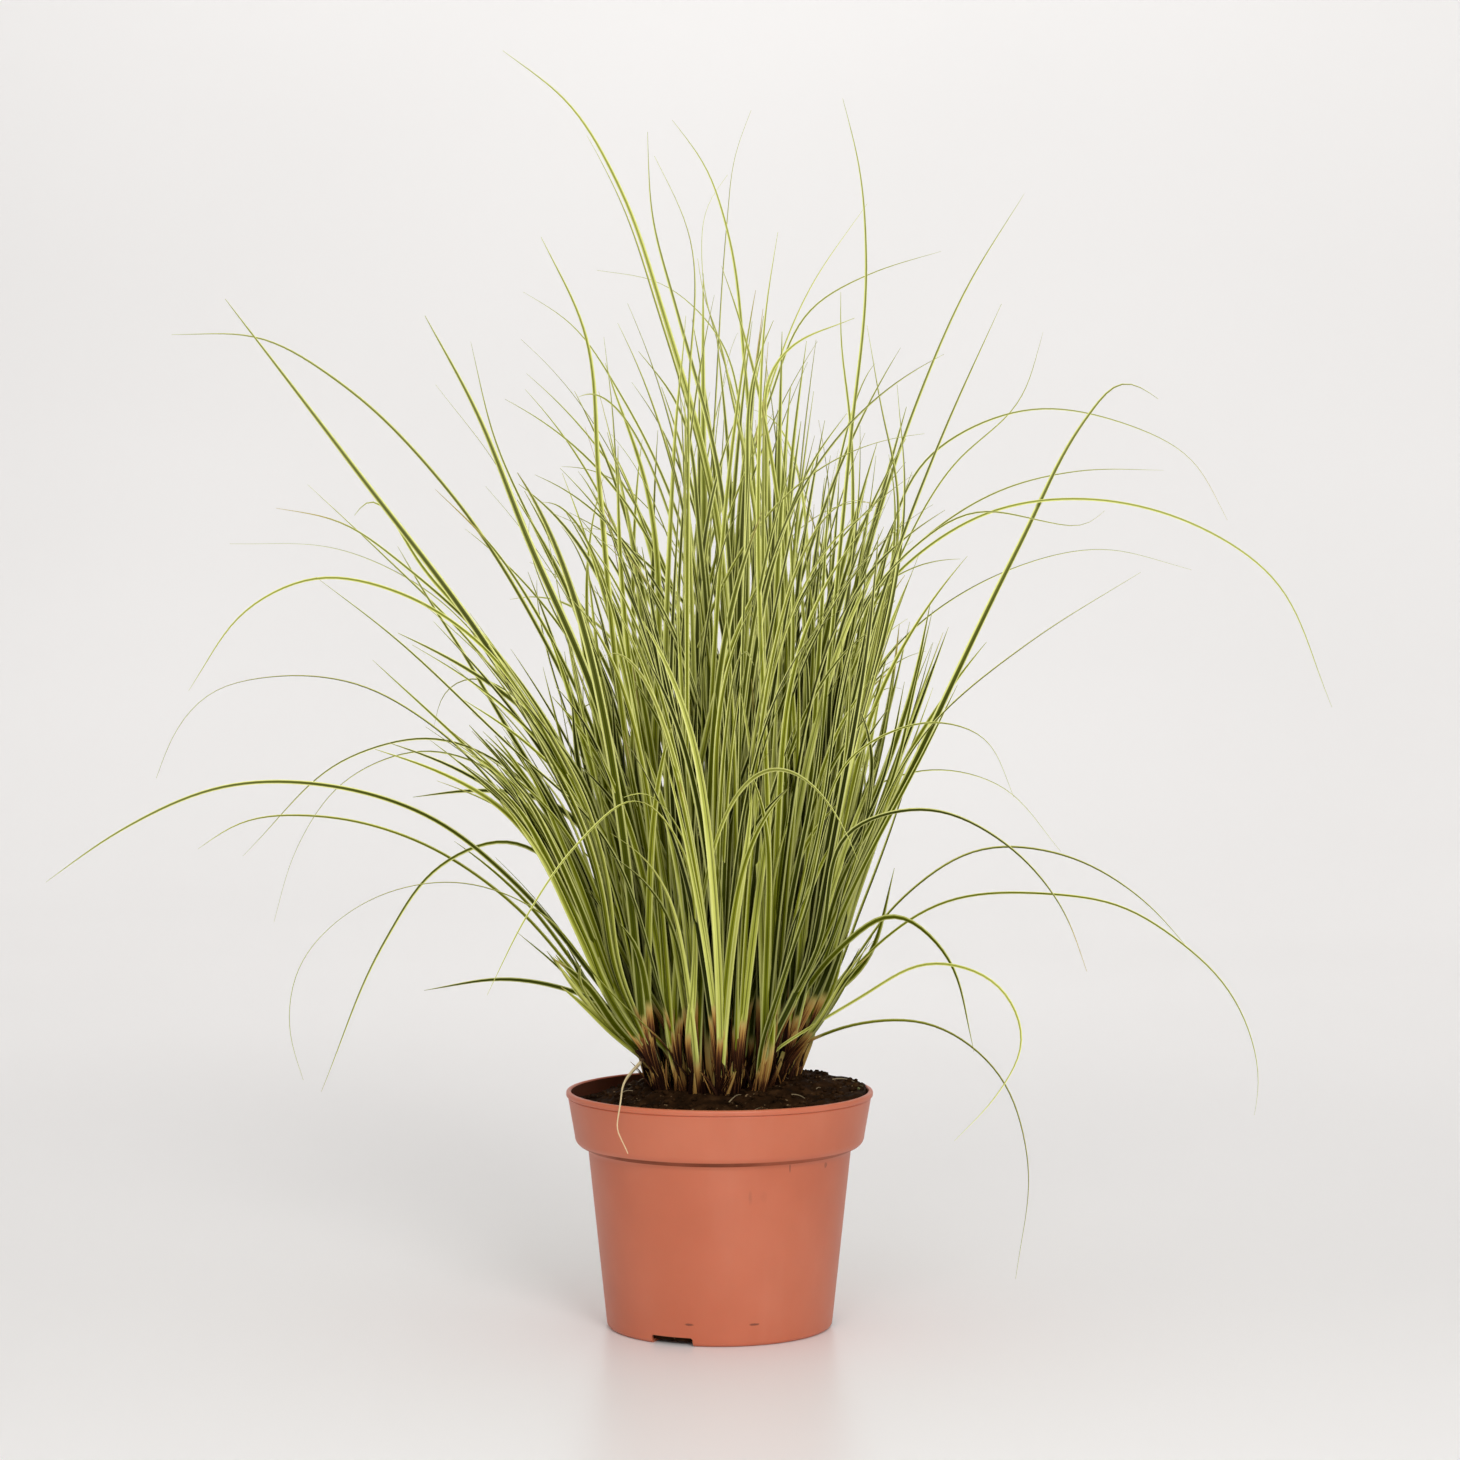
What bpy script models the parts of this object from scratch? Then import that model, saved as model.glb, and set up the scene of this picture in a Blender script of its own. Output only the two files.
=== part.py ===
"""Potted ornamental grass clump.

A plastic nursery pot, 13 cm across its rim, filled with potting compost, with a clump of fine
arching grass. Each shoot is one body: a sheath bundle and the leaves that grow from it.
Metres, +Z up, the origin at the middle of the pot's underside, and -Y the front.
"""

import math
import random

import bmesh
import bpy
import numpy as np
from mathutils import Matrix, Vector, noise

MM = 0.001
GAP = 0.3 * MM

# Pot
POT_HEIGHT = 100.0 * MM
RIM_RADIUS = 65.0 * MM
BASE_RADIUS = 47.9 * MM
WALL_TOP_RADIUS = 55.5 * MM
BAND_HEIGHT = 23.5 * MM
BAND_FOOT_RADIUS = 61.4 * MM
BAND_CORNER = 4.5 * MM
LIP_HEIGHT = 2.1 * MM
LIP_DEPTH = 0.8 * MM
LIP_ROUNDING = 0.7 * MM
LIP_STEP = 0.4 * MM
WALL = 1.4 * MM
BASE_EDGE = 2.0 * MM
POT_STEPS = 36
SHARP_ANGLE = math.radians(35.0)
SLOT_COUNT = 3
SLOT_FIRST_ANGLE = math.radians(-114.5)
SLOT_LENGTH = 18.7 * MM
SLOT_HEIGHT = 3.6 * MM
SLOT_REACH = 11.0 * MM

# Potting compost
SOIL_LEVEL = 94.0 * MM
SOIL_EDGE_GAP = 1.6 * MM
SIDE_MOUND = 7.0 * MM
SIDE_MOUND_START = 5.0 * MM
SIDE_MOUND_END = 55.0 * MM
CROWN_MOUND = 6.0 * MM
CROWN_MOUND_TOP = 32.0 * MM
CROWN_MOUND_FOOT = 56.0 * MM
SOIL_BUMP = 1.3 * MM
SOIL_BUMP_SPACING = 13.0 * MM
SOIL_TOP_DEPTH = 0.1 * MM
SOIL_STEPS = 20
SOIL_RINGS = 3

# Shoots
SHOOT_COUNT = 38
CROWN_RADIUS = 33.0 * MM
CROWN_SETBACK = 13.0 * MM
GOLDEN_ANGLE = math.radians(137.508)
CENTRE_RING = 14.0 * MM
MIDDLE_RING = 24.0 * MM
SHEATH_HEIGHT = 30.0 * MM
SHEATH_DEPTH = 6.0 * MM
SHEATH_FOOT_RADIUS = 3.1 * MM
SHEATH_TOP_RADIUS = 2.1 * MM
SHEATH_SIDES = 5
LEAN_CENTRE = math.radians(2.0)
LEAN_OUTER = math.radians(20.0)

# Leaves
LEAF_WIDTH = 2.6 * MM
LEAF_TIP_SHARE = 0.18
LEAF_TAPER = 2.2
LEAF_THICKNESS = 0.42
LEAF_CLEARANCE = 0.25 * MM
STRAIGHT_STEP = 88.0 * MM
BEND_STEP = math.radians(25.0)
LEAVES_PER_SHOOT = 3
LINE_POINTS = 200
ROOT_SPREAD = 0.6 * MM
ROOT_RISE = 90.0 * MM
LOWEST_ROOT = 0.3
HIGHEST_ROOT = 0.7
STRAND_ROOT = 0.45
STRAND_WIDTH = 1.7 * MM
DEPTH_POWER = 1.35
DEPTH_STEP = 6
MOST_DEPTH_SHIFT = 90

# Leaves sown by rule, and what they stay clear of
SEED = 1107
MOST_TRIES = 400
SOWN_STEPS = 40
SOWN_LENGTHS = (210.0 * MM, 340.0 * MM)
SOWN_TURN = 0.5
SOWN_LEAN_SHARE = 0.5
SOWN_LEAN = (math.radians(4.0), math.radians(5.0))
LEAST_LEAN = math.radians(1.0)
SOWN_BEND = (math.radians(15.0), math.radians(60.0))
SOWN_DROOP = math.radians(95.0)
SOWN_BEND_POWER = (1.3, 2.2)
SOWN_SWAY = math.radians(14.0)
RIM_CLEAR_HEIGHT = 106.0 * MM
RIM_CLEAR_RADIUS = 68.5 * MM
CROWN_CLEAR_RADIUS = 52.0 * MM
FLOOR_CLEARANCE = 12.0 * MM
MOST_REACH = 262.0 * MM
FAN_FOOT = 44.0 * MM
FAN_SLOPE = 0.29
FAN_TOP = 400.0 * MM
FAN_SHOULDER = 0.45
FRONT_DEPTH = -60.0 * MM
FRONT_LOWEST = 190.0 * MM

# The eye that the drawn leaves are drawn for, in front of the pot
EYE_DISTANCE = 1418.0 * MM
EYE_HEIGHT = 294.0 * MM

# Leaves drawn one by one, in millimetres: where the leaf stands (x, y) from the crown's middle, the
# depth y of its tip, and the points (x, z) that it passes through as the eye sees them, foot to tip.
DRAWN_LEAVES = [
    # arching to the left, from the top down
    ((-20, 12), 40, [(-34, 185), (-74, 290), (-115, 354), (-159, 398), (-194, 418), (-231, 419)]),
    ((-24, -6), -60, [(-51, 205), (-93, 280), (-157, 367), (-208, 434)]),
    ((-22, 22), 70, [(-42, 185), (-68, 239), (-106, 290), (-144, 328), (-174, 356)]),
    ((-26, -14), -30, [(-52, 215), (-93, 284), (-132, 321), (-161, 341), (-187, 346)]),
    ((-27, 6), 90, [(-50, 205), (-85, 269), (-123, 311), (-161, 329), (-207, 331)]),
    ((-24, -20), -110, [
        (-46, 190), (-76, 256), (-102, 290), (-136, 311),
        (-170, 317), (-199, 304), (-224, 269),
    ]),
    ((-33, -6), -80, [
        (-51, 158), (-81, 210), (-121, 254), (-153, 272),
        (-190, 275), (-216, 268), (-230, 252), (-238, 232),
    ]),
    ((-30, 12), 70, [(-55, 180), (-85, 233), (-119, 249), (-157, 241), (-202, 199)]),
    ((-26, 20), 110, [(-51, 167), (-85, 228), (-123, 244), (-159, 231), (-180, 201), (-189, 171)]),
    ((-34, -2), -60, [
        (-50, 143), (-85, 186), (-123, 216), (-165, 229),
        (-208, 229), (-255, 209), (-285, 188),
    ]),
    ((-34, 8), 60, [(-52, 138), (-89, 180), (-127, 205), (-170, 216), (-204, 213), (-221, 202)]),
    ((-28, -20), -120, [
        (-50, 145), (-74, 174), (-110, 188), (-149, 180),
        (-178, 152), (-182, 125), (-176, 104),
    ]),
    ((-32, 16), 40, [(-48, 148), (-62, 188), (-89, 206), (-119, 195), (-142, 163), (-169, 99)]),
    ((-30, -14), -90, [(-57, 140), (-89, 147), (-125, 142)]),
    ((-8, -26), -150, [(-10, 160), (-17, 205), (-34, 224), (-59, 205), (-81, 174), (-98, 140)]),
    ((-33, 2), -50, [(-52, 134), (-66, 150), (-86, 167)]),
    ((-20, 26), 110, [(-40, 185), (-74, 223), (-102, 227), (-130, 224)]),
    ((-18, 28), 130, [(-40, 190), (-68, 231), (-87, 267), (-106, 275), (-117, 269), (-121, 254)]),
    ((-30, 18), 150, [(-45, 170), (-68, 205), (-106, 244), (-147, 282)]),
    ((-20, -24), -130, [(-51, 210), (-89, 246), (-140, 294), (-170, 317)]),
    ((-26, -10), -70, [(-45, 165), (-62, 205), (-77, 224), (-101, 243)]),
    ((-26, -2), -20, [(-48, 205), (-68, 248), (-98, 290), (-124, 319), (-150, 351), (-154, 343)]),
    ((-26, 4), 30, [(-50, 180), (-72, 224), (-91, 255), (-109, 286), (-122, 306), (-136, 330)]),
    ((-18, 2), 20, [(-34, 190), (-67, 283), (-78, 303), (-96, 330), (-120, 354)]),
    ((-30, -8), -60, [(-46, 140), (-57, 165), (-70, 192), (-88, 219), (-104, 234), (-122, 248)]),
    # rising to the upper left
    ((-16, -10), -40, [(-30, 180), (-55, 273), (-81, 333), (-103, 388), (-124, 427)]),
    ((-16, 6), 60, [(-28, 188), (-51, 282), (-76, 333), (-95, 375), (-105, 416)]),
    ((-12, 20), 120, [(-34, 197), (-68, 299), (-93, 362), (-120, 398)]),
    ((-10, -14), -50, [(-20, 150), (-42, 265), (-51, 358), (-57, 422), (-75, 460)]),
    ((-6, 12), 90, [(-8, 180), (-17, 341), (-42, 394), (-64, 425), (-83, 437)]),
    # upright
    ((4, 24), 120, [(8, 180), (11, 350), (-3, 422), (-25, 441), (-52, 446)]),
    ((-6, -8), -40, [(-6, 180), (-8, 330), (-19, 393), (-34, 412)]),
    ((2, -4), -30, [(4, 180), (-4, 358), (-23, 426), (-42, 481), (-64, 517), (-91, 538)]),
    ((4, -18), -90, [(6, 180), (-2, 371), (-19, 434), (-28, 468), (-30, 504)]),
    ((12, 6), 40, [(17, 180), (11, 401), (3, 464), (-6, 490), (-20, 509)]),
    ((-4, 20), 100, [(-8, 180), (-2, 392), (3, 468), (6, 494), (13, 513)]),
    ((-10, -24), -120, [(-13, 180), (-13, 392), (-13, 464), (-27, 494)]),
    ((10, 30), 140, [(17, 180), (8, 384), (-8, 451), (-6, 473), (3, 486)]),
    ((22, -10), -60, [(36, 175), (55, 371), (62, 451), (59, 490), (52, 518)]),
    ((0, 10), 60, [(0, 180), (17, 384), (38, 439), (62, 474)]),
    ((14, -28), -130, [(21, 180), (17, 371), (20, 430), (25, 462)]),
    ((8, 18), 100, [(8, 188), (21, 392), (38, 430), (64, 445), (93, 454)]),
    ((2, -12), -50, [(14, 180), (11, 367), (4, 398), (0, 418), (-6, 432), (-9, 451)]),
    ((-8, -16), -70, [(-20, 200), (-19, 367), (-18, 384), (-15, 413), (-14, 427)]),
    ((-12, -4), -20, [(-26, 200), (-34, 367), (-40, 384), (-44, 394), (-48, 407)]),
    ((6, -20), -90, [(10, 200), (12, 371), (12, 384), (16, 408), (23, 425)]),
    ((10, -6), -40, [(18, 200), (20, 367), (22, 405), (33, 417), (50, 423), (57, 426)]),
    ((0, -18), -70, [(10, 250), (30, 345), (40, 367), (54, 386)]),
    ((26, -8), -50, [(52, 220), (78, 367), (76, 386), (75, 398)]),
    ((26, 2), 10, [(50, 190), (70, 235), (81, 268), (89, 306)]),
    ((-14, 14), 80, [(-30, 200), (-44, 367), (-45, 384), (-49, 418)]),
    ((14, 8), 60, [(26, 200), (28, 367), (29, 388), (30, 398)]),
    ((20, 2), 20, [(40, 200), (56, 367), (55, 384), (51, 418), (51, 437)]),
    ((24, 4), 40, [(48, 220), (73, 367), (70, 379), (62, 423)]),
    ((27, -4), -20, [(50, 185), (72, 228), (83, 273), (90, 303)]),
    # rising to the upper right
    ((20, 8), 50, [(36, 175), (64, 333), (85, 396), (104, 439), (128, 478)]),
    ((24, -14), -70, [(38, 170), (68, 307), (95, 379), (119, 432)]),
    # arching to the right, from the top down
    ((28, -4), -30, [(45, 155), (89, 252), (127, 331), (157, 387), (170, 401), (185, 392)]),
    ((24, 12), 70, [(42, 180), (64, 299), (89, 369), (132, 388), (170, 382), (199, 367), (214, 341)]),
    ((26, -10), -40, [
        (44, 180), (76, 320), (115, 345), (157, 350),
        (199, 340), (233, 318), (259, 262),
    ]),
    ((22, 20), 110, [(42, 180), (76, 290), (119, 319), (161, 329), (199, 320)]),
    ((24, -20), -100, [(46, 167), (91, 256), (132, 290), (178, 319)]),
    ((18, 26), 150, [(40, 188), (76, 324), (119, 354), (153, 362), (187, 362)]),
    ((18, 16), 90, [(38, 188), (68, 307), (98, 364), (127, 392), (136, 420)]),
    ((14, -24), -140, [(40, 201), (76, 324), (108, 345), (140, 340), (157, 338), (163, 345)]),
    ((33, -4), -50, [
        (64, 159), (93, 179), (140, 183), (170, 178), (196, 162),
        (214, 145), (226, 121), (229, 100), (227, 89),
    ]),
    ((33, 8), 50, [(50, 145), (76, 180), (110, 202), (144, 200), (182, 178), (199, 159)]),
    ((26, -20), -120, [(42, 160), (55, 210), (89, 219), (123, 203), (146, 176), (156, 150)]),
    ((28, 16), 100, [(40, 165), (55, 222), (89, 236), (119, 229), (144, 201)]),
    ((20, -26), -150, [(36, 175), (59, 244), (93, 256), (112, 250), (125, 224)]),
    ((31, -10), -60, [(51, 160), (74, 175), (95, 159), (108, 116)]),
    ((34, -6), -75, [(59, 128), (89, 128), (119, 106), (131, 70), (126, 19)]),
    ((32, -14), -110, [(58, 138), (89, 154), (119, 144), (129, 121), (119, 99), (100, 78)]),
    ((34, 2), 20, [(62, 154), (74, 194)]),
]

# The dry strand that bends down over the rim at the front left: real (x, y, z) in millimetres.
STRAND_FOOT = (-28, -24)
DRY_STRAND = [
    (-35.2, -18.5, 110.4),
    (-38.4, -29, 110.6),
    (-39.6, -42, 106.6),
    (-40.2, -53.4, 101.6),
    (-41, -54.8, 96.5),
    (-41.8, -54, 91),
    (-39.4, -53.4, 86),
    (-37.2, -53.8, 81),
]


def clear_scene():
    for obj in list(bpy.data.objects):
        bpy.data.objects.remove(obj, do_unlink=True)


def make_collection(name):
    collection = bpy.data.collections.new(name)
    bpy.context.scene.collection.children.link(collection)
    return collection


def make_material(name, colour, roughness):
    material = bpy.data.materials.new(name)
    material.use_nodes = True
    shader = material.node_tree.nodes["Principled BSDF"]
    shader.inputs["Base Color"].default_value = (*colour, 1.0)
    shader.inputs["Roughness"].default_value = roughness
    return material


def add_object(name, data, collection):
    obj = bpy.data.objects.new(name, data)
    collection.objects.link(obj)
    return obj


def freeze(obj):
    """Replaces the object's data by its evaluated mesh, with the ends of a curve welded."""
    graph = bpy.context.evaluated_depsgraph_get()
    mesh = bpy.data.meshes.new_from_object(obj.evaluated_get(graph))
    shape = bmesh.new()
    shape.from_mesh(mesh)
    bmesh.ops.remove_doubles(shape, verts=shape.verts, dist=0.001 * MM)
    shape.to_mesh(mesh)
    shape.free()
    solid = add_object(obj.name + "_solid", mesh, obj.users_collection[0])
    solid.matrix_world = obj.matrix_world
    name = obj.name
    bpy.data.objects.remove(obj, do_unlink=True)
    solid.name = name
    return solid


def turned(name, profile, steps, collection):
    """A profile of (radius, z) turned about Z, from the axis over the top and down its outer side."""
    mesh = bpy.data.meshes.new(name)
    edges = [(i, i + 1) for i in range(len(profile) - 1)]
    mesh.from_pydata([(radius, 0.0, z) for radius, z in profile], edges, [])
    obj = add_object(name, mesh, collection)
    screw = obj.modifiers.new("Turn", "SCREW")
    screw.axis = "Z"
    screw.steps = steps
    screw.render_steps = steps
    screw.use_merge_vertices = True
    screw.merge_threshold = 0.01 * MM
    screw.use_smooth_shade = True
    return obj


def boolean(obj, other, operation):
    modifier = obj.modifiers.new(operation.title(), "BOOLEAN")
    modifier.operation = operation
    modifier.solver = "EXACT"
    modifier.object = other


def arc(centre, radius, start, end, count):
    """Points (r, z) on a round stretch of a profile, angles in degrees."""
    angles = [math.radians(start + (end - start) * i / (count - 1)) for i in range(count)]
    return [(centre[0] + radius * math.cos(a), centre[1] + radius * math.sin(a)) for a in angles]


# Pot


def band_foot():
    return POT_HEIGHT - BAND_HEIGHT


def pot_outside():
    """The pot's outer profile from the lip down to the middle of the base."""
    lip_foot = POT_HEIGHT - LIP_HEIGHT
    lip = [(RIM_RADIUS - LIP_ROUNDING, POT_HEIGHT), (RIM_RADIUS, POT_HEIGHT - LIP_ROUNDING)]
    lip += [(RIM_RADIUS, lip_foot)]
    groove = [(RIM_RADIUS - LIP_DEPTH, lip_foot - LIP_STEP)]
    corner_centre = (BAND_FOOT_RADIUS - BAND_CORNER, band_foot() + BAND_CORNER)
    corner = arc(corner_centre, BAND_CORNER, 0.0, -90.0, 4)
    wall = [(WALL_TOP_RADIUS, band_foot())]
    base = arc((BASE_RADIUS - BASE_EDGE, BASE_EDGE), BASE_EDGE, 0.0, -90.0, 3)
    return lip + groove + corner + wall + base + [(0.0, 0.0)]


def pot_inside():
    """The pot's inner profile from the middle of its floor up to the lip."""
    floor = [(0.0, WALL), (BASE_RADIUS - BASE_EDGE, WALL), (BASE_RADIUS - WALL, BASE_EDGE + WALL / 2)]
    wall = [(WALL_TOP_RADIUS - WALL, band_foot() + WALL)]
    ledge = [(BAND_FOOT_RADIUS - BAND_CORNER, band_foot() + WALL)]
    corner = [(BAND_FOOT_RADIUS - WALL, band_foot() + BAND_CORNER)]
    return floor + wall + ledge + corner + [(RIM_RADIUS - LIP_DEPTH - WALL, POT_HEIGHT)]


def drain_slot(number, cutters):
    """A cutter for one drain slot, through the foot of the wall and the edge of the base."""
    angle = SLOT_FIRST_ANGLE + number * math.tau / SLOT_COUNT
    turn = Matrix.Rotation(angle, 4, "Z")
    middle = BASE_RADIUS - SLOT_REACH / 2 + GAP
    size = Matrix.Diagonal((SLOT_REACH, SLOT_LENGTH, 2 * SLOT_HEIGHT, 1.0))
    mesh = bpy.data.meshes.new(f"drain_slot_{number + 1}")
    shape = bmesh.new()
    bmesh.ops.create_cube(shape, size=1.0, matrix=turn @ Matrix.Translation((middle, 0, 0)) @ size)
    shape.to_mesh(mesh)
    shape.free()
    return add_cutter(mesh, cutters)


def add_cutter(mesh, cutters):
    cutter = add_object(mesh.name, mesh, cutters)
    cutter.hide_render = True
    cutter.display_type = "WIRE"
    return cutter


def build_pot(collection, cutters):
    pot = turned("pot", pot_inside() + pot_outside(), POT_STEPS, collection)
    for number in range(SLOT_COUNT):
        boolean(pot, drain_slot(number, cutters), "DIFFERENCE")
    pot = freeze(pot)
    pot.data.set_sharp_from_angle(angle=SHARP_ANGLE)
    pot.data.materials.append(make_material("pot_terracotta_plastic", (0.58, 0.19, 0.095), 0.42))
    return pot


# Potting compost


def eased(value, start, end):
    """0 up to start, 1 from end on, and a smooth step between them."""
    share = min(max((value - start) / (end - start), 0.0), 1.0)
    return share * share * (3.0 - 2.0 * share)


def soil_height(x, y):
    """The compost's surface: mounded under the crown and towards the right rim, lowest at the left."""
    side = SIDE_MOUND * eased(x, SIDE_MOUND_START, SIDE_MOUND_END)
    crown = CROWN_MOUND * eased(-math.hypot(x, y - CROWN_SETBACK), -CROWN_MOUND_FOOT, -CROWN_MOUND_TOP)
    bumps = SOIL_BUMP * noise.noise(Vector((x, y, 0.0)) / SOIL_BUMP_SPACING)
    return SOIL_LEVEL + side + crown + bumps


def soil_profile():
    """The compost from the middle of its top, over its edge, down the wall to the middle of the floor."""
    edge = RIM_RADIUS - LIP_DEPTH - WALL - SOIL_EDGE_GAP
    top = [(edge * ring / SOIL_RINGS, SOIL_LEVEL) for ring in range(SOIL_RINGS + 1)]
    band = [(BAND_FOOT_RADIUS - WALL - 2 * GAP, band_foot() + BAND_CORNER + GAP)]
    ledge = [(BAND_FOOT_RADIUS - BAND_CORNER - GAP, band_foot() + WALL + GAP)]
    ledge += [(WALL_TOP_RADIUS - WALL - 2 * GAP, band_foot() + WALL + GAP)]
    foot = [(BASE_RADIUS - WALL - 2 * GAP, BASE_EDGE + WALL), (BASE_RADIUS - BASE_EDGE - GAP, WALL + GAP)]
    return top + band + ledge + foot + [(0.0, WALL + GAP)]


def build_soil(shoots, collection, cutters):
    soil = freeze(turned("soil", soil_profile(), SOIL_STEPS, collection))
    for vertex in soil.data.vertices:
        if vertex.co.z > SOIL_LEVEL - SOIL_TOP_DEPTH:
            vertex.co.z = soil_height(vertex.co.x, vertex.co.y)
    sockets = bpy.data.meshes.new("shoot_sockets")
    shape = bmesh.new()
    for shoot in shoots:
        add_sheath(shape, shoot, GAP, SHEATH_DEPTH + GAP, SHEATH_HEIGHT)
    shape.to_mesh(sockets)
    shape.free()
    boolean(soil, add_cutter(sockets, cutters), "DIFFERENCE")
    soil.data.materials.append(make_material("potting_compost", (0.030, 0.017, 0.009), 0.95))
    return soil


# Shoots


def direction(lean, heading):
    """The unit vector that leans from the vertical towards a heading."""
    across = math.sin(lean)
    return Vector((across * math.cos(heading), across * math.sin(heading), math.cos(lean)))


def plan_shoots():
    """Where each shoot stands in the crown, spread like seeds in a flower head, and how it leans."""
    shoots = []
    for number in range(SHOOT_COUNT):
        radius = CROWN_RADIUS * math.sqrt((number + 0.5) / SHOOT_COUNT)
        angle = number * GOLDEN_ANGLE
        x, y = radius * math.cos(angle), CROWN_SETBACK + radius * math.sin(angle)
        lean = LEAN_CENTRE + (LEAN_OUTER - LEAN_CENTRE) * radius / CROWN_RADIUS
        ring = "centre" if radius < CENTRE_RING else "middle" if radius < MIDDLE_RING else "outer"
        number_in_ring = 1 + sum(shoot["ring"] == ring for shoot in shoots)
        shoots.append(
            {
                "name": f"shoot_{ring}_{number_in_ring:02d}",
                "ring": ring,
                "foot": Vector((x, y, soil_height(x, y))),
                "axis": direction(lean, angle),
                "angle": angle,
                "lean": lean,
                "leaves": [],
            }
        )
    return shoots


def add_sheath(shape, shoot, grow, below, above):
    """The sheath bundle as a slim cone on the shoot's axis, grown sideways by a clearance."""
    length = below + above
    slope = (SHEATH_FOOT_RADIUS - SHEATH_TOP_RADIUS) / SHEATH_HEIGHT
    middle = shoot["foot"] + shoot["axis"] * (above - below) / 2
    turn = Vector((0, 0, 1)).rotation_difference(shoot["axis"]).to_matrix().to_4x4()
    bmesh.ops.create_cone(
        shape,
        cap_ends=True,
        segments=SHEATH_SIDES,
        radius1=SHEATH_FOOT_RADIUS + slope * below + grow,
        radius2=SHEATH_FOOT_RADIUS - slope * above + grow,
        depth=length,
        matrix=Matrix.Translation(middle) @ turn,
    )


# Leaf lines


def smooth_path(anchors):
    """Points close together along a smooth curve through the anchors."""
    anchors = np.asarray(anchors, float)
    chords = np.linalg.norm(np.diff(anchors, axis=0), axis=1)
    knots = np.concatenate([[0.0], np.cumsum(chords)])
    slopes = np.gradient(anchors, knots, axis=0)
    at = np.linspace(0.0, knots[-1], LINE_POINTS)
    span = np.clip(np.searchsorted(knots, at, side="right") - 1, 0, len(chords) - 1)
    step = chords[span][:, None]
    t = (at - knots[span])[:, None] / step
    curve = (2 * t**3 - 3 * t**2 + 1) * anchors[span] + (3 * t**2 - 2 * t**3) * anchors[span + 1]
    return curve + step * ((t**3 - 2 * t**2 + t) * slopes[span] + (t**3 - t**2) * slopes[span + 1])


def pared(path):
    """The same line with few points: far apart where it runs straight, closer where it bends."""
    steps = np.diff(path, axis=0)
    lengths = np.linalg.norm(steps, axis=1)
    ways = steps / lengths[:, None]
    turns = np.arccos(np.clip((ways[1:] * ways[:-1]).sum(axis=1), -1.0, 1.0))
    spacing = lengths / STRAIGHT_STEP + np.append(turns, 0.0) / BEND_STEP
    measure = np.cumsum(np.concatenate([[0.0], spacing]))
    even = np.linspace(0.0, measure[-1], math.ceil(measure[-1]) + 1)
    return np.stack([np.interp(even, measure, path[:, axis]) for axis in range(3)], axis=1)


def root_of(shoot, height):
    """Where a shoot's next leaf starts inside its sheath: on the axis, a little to one side."""
    side = math.tau * len(shoot["leaves"]) / LEAVES_PER_SHOOT + shoot["angle"]
    offset = Vector((math.cos(side), math.sin(side), 0.0)) * ROOT_SPREAD
    return shoot["foot"] + shoot["axis"] * height + offset


def on_sight_line(x, z, depth):
    """The point at a depth y that the eye sees where (x, z) is at depth 0."""
    scale = 1.0 + depth / EYE_DISTANCE
    return (x * scale, depth, EYE_HEIGHT + (z - EYE_HEIGHT) * scale)


def drawn_path(shoot, tip_depth, outline):
    """A drawn leaf's line from its root to its tip, its depth growing towards the tip."""
    outline = np.array(outline, float) * MM
    start = np.array([[shoot["foot"].x, SOIL_LEVEL]])
    chords = np.linalg.norm(np.diff(np.concatenate([start, outline]), axis=0), axis=1)
    shares = np.cumsum(chords) / chords.sum()
    depths = shoot["foot"].y + (tip_depth - shoot["foot"].y) * shares**DEPTH_POWER
    rise = (outline[0][1] - SOIL_LEVEL) / ROOT_RISE
    root = root_of(shoot, SHEATH_HEIGHT * min(max(rise, LOWEST_ROOT), HIGHEST_ROOT))
    seen = [on_sight_line(x, z, depth) for (x, z), depth in zip(outline, depths)]
    return pared(smooth_path([tuple(root)] + seen))


def sown_path(shoot, rng):
    """A leaf's line by rule: it rises along its sheath and bends over more and more towards the tip."""
    spread = shoot["lean"] / LEAN_OUTER
    heading = shoot["angle"] + rng.gauss(0.0, SOWN_TURN * (2.0 - spread))
    length = rng.uniform(*SOWN_LENGTHS)
    lean = max(SOWN_LEAN_SHARE * shoot["lean"] + rng.gauss(*SOWN_LEAN), LEAST_LEAN)
    bend = rng.uniform(*SOWN_BEND) + spread * rng.uniform(0.0, SOWN_DROOP)
    power = rng.uniform(*SOWN_BEND_POWER)
    sway = rng.gauss(0.0, SOWN_SWAY)
    points = [root_of(shoot, HIGHEST_ROOT * SHEATH_HEIGHT)]
    for number in range(SOWN_STEPS):
        share = (number + 0.5) / SOWN_STEPS
        way = direction(lean + bend * share**power, heading + sway * share)
        points.append(points[-1] + way * length / SOWN_STEPS)
    return pared(np.array([tuple(point) for point in points]))


def half_widths(path, width):
    """Half the leaf's width at each point: even along its lower half and narrow at the tip."""
    along = np.concatenate([[0.0], np.cumsum(np.linalg.norm(np.diff(path, axis=0), axis=1))])
    return width / 2 * (1.0 - (1.0 - LEAF_TIP_SHARE) * (along / along[-1]) ** LEAF_TAPER)


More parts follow.
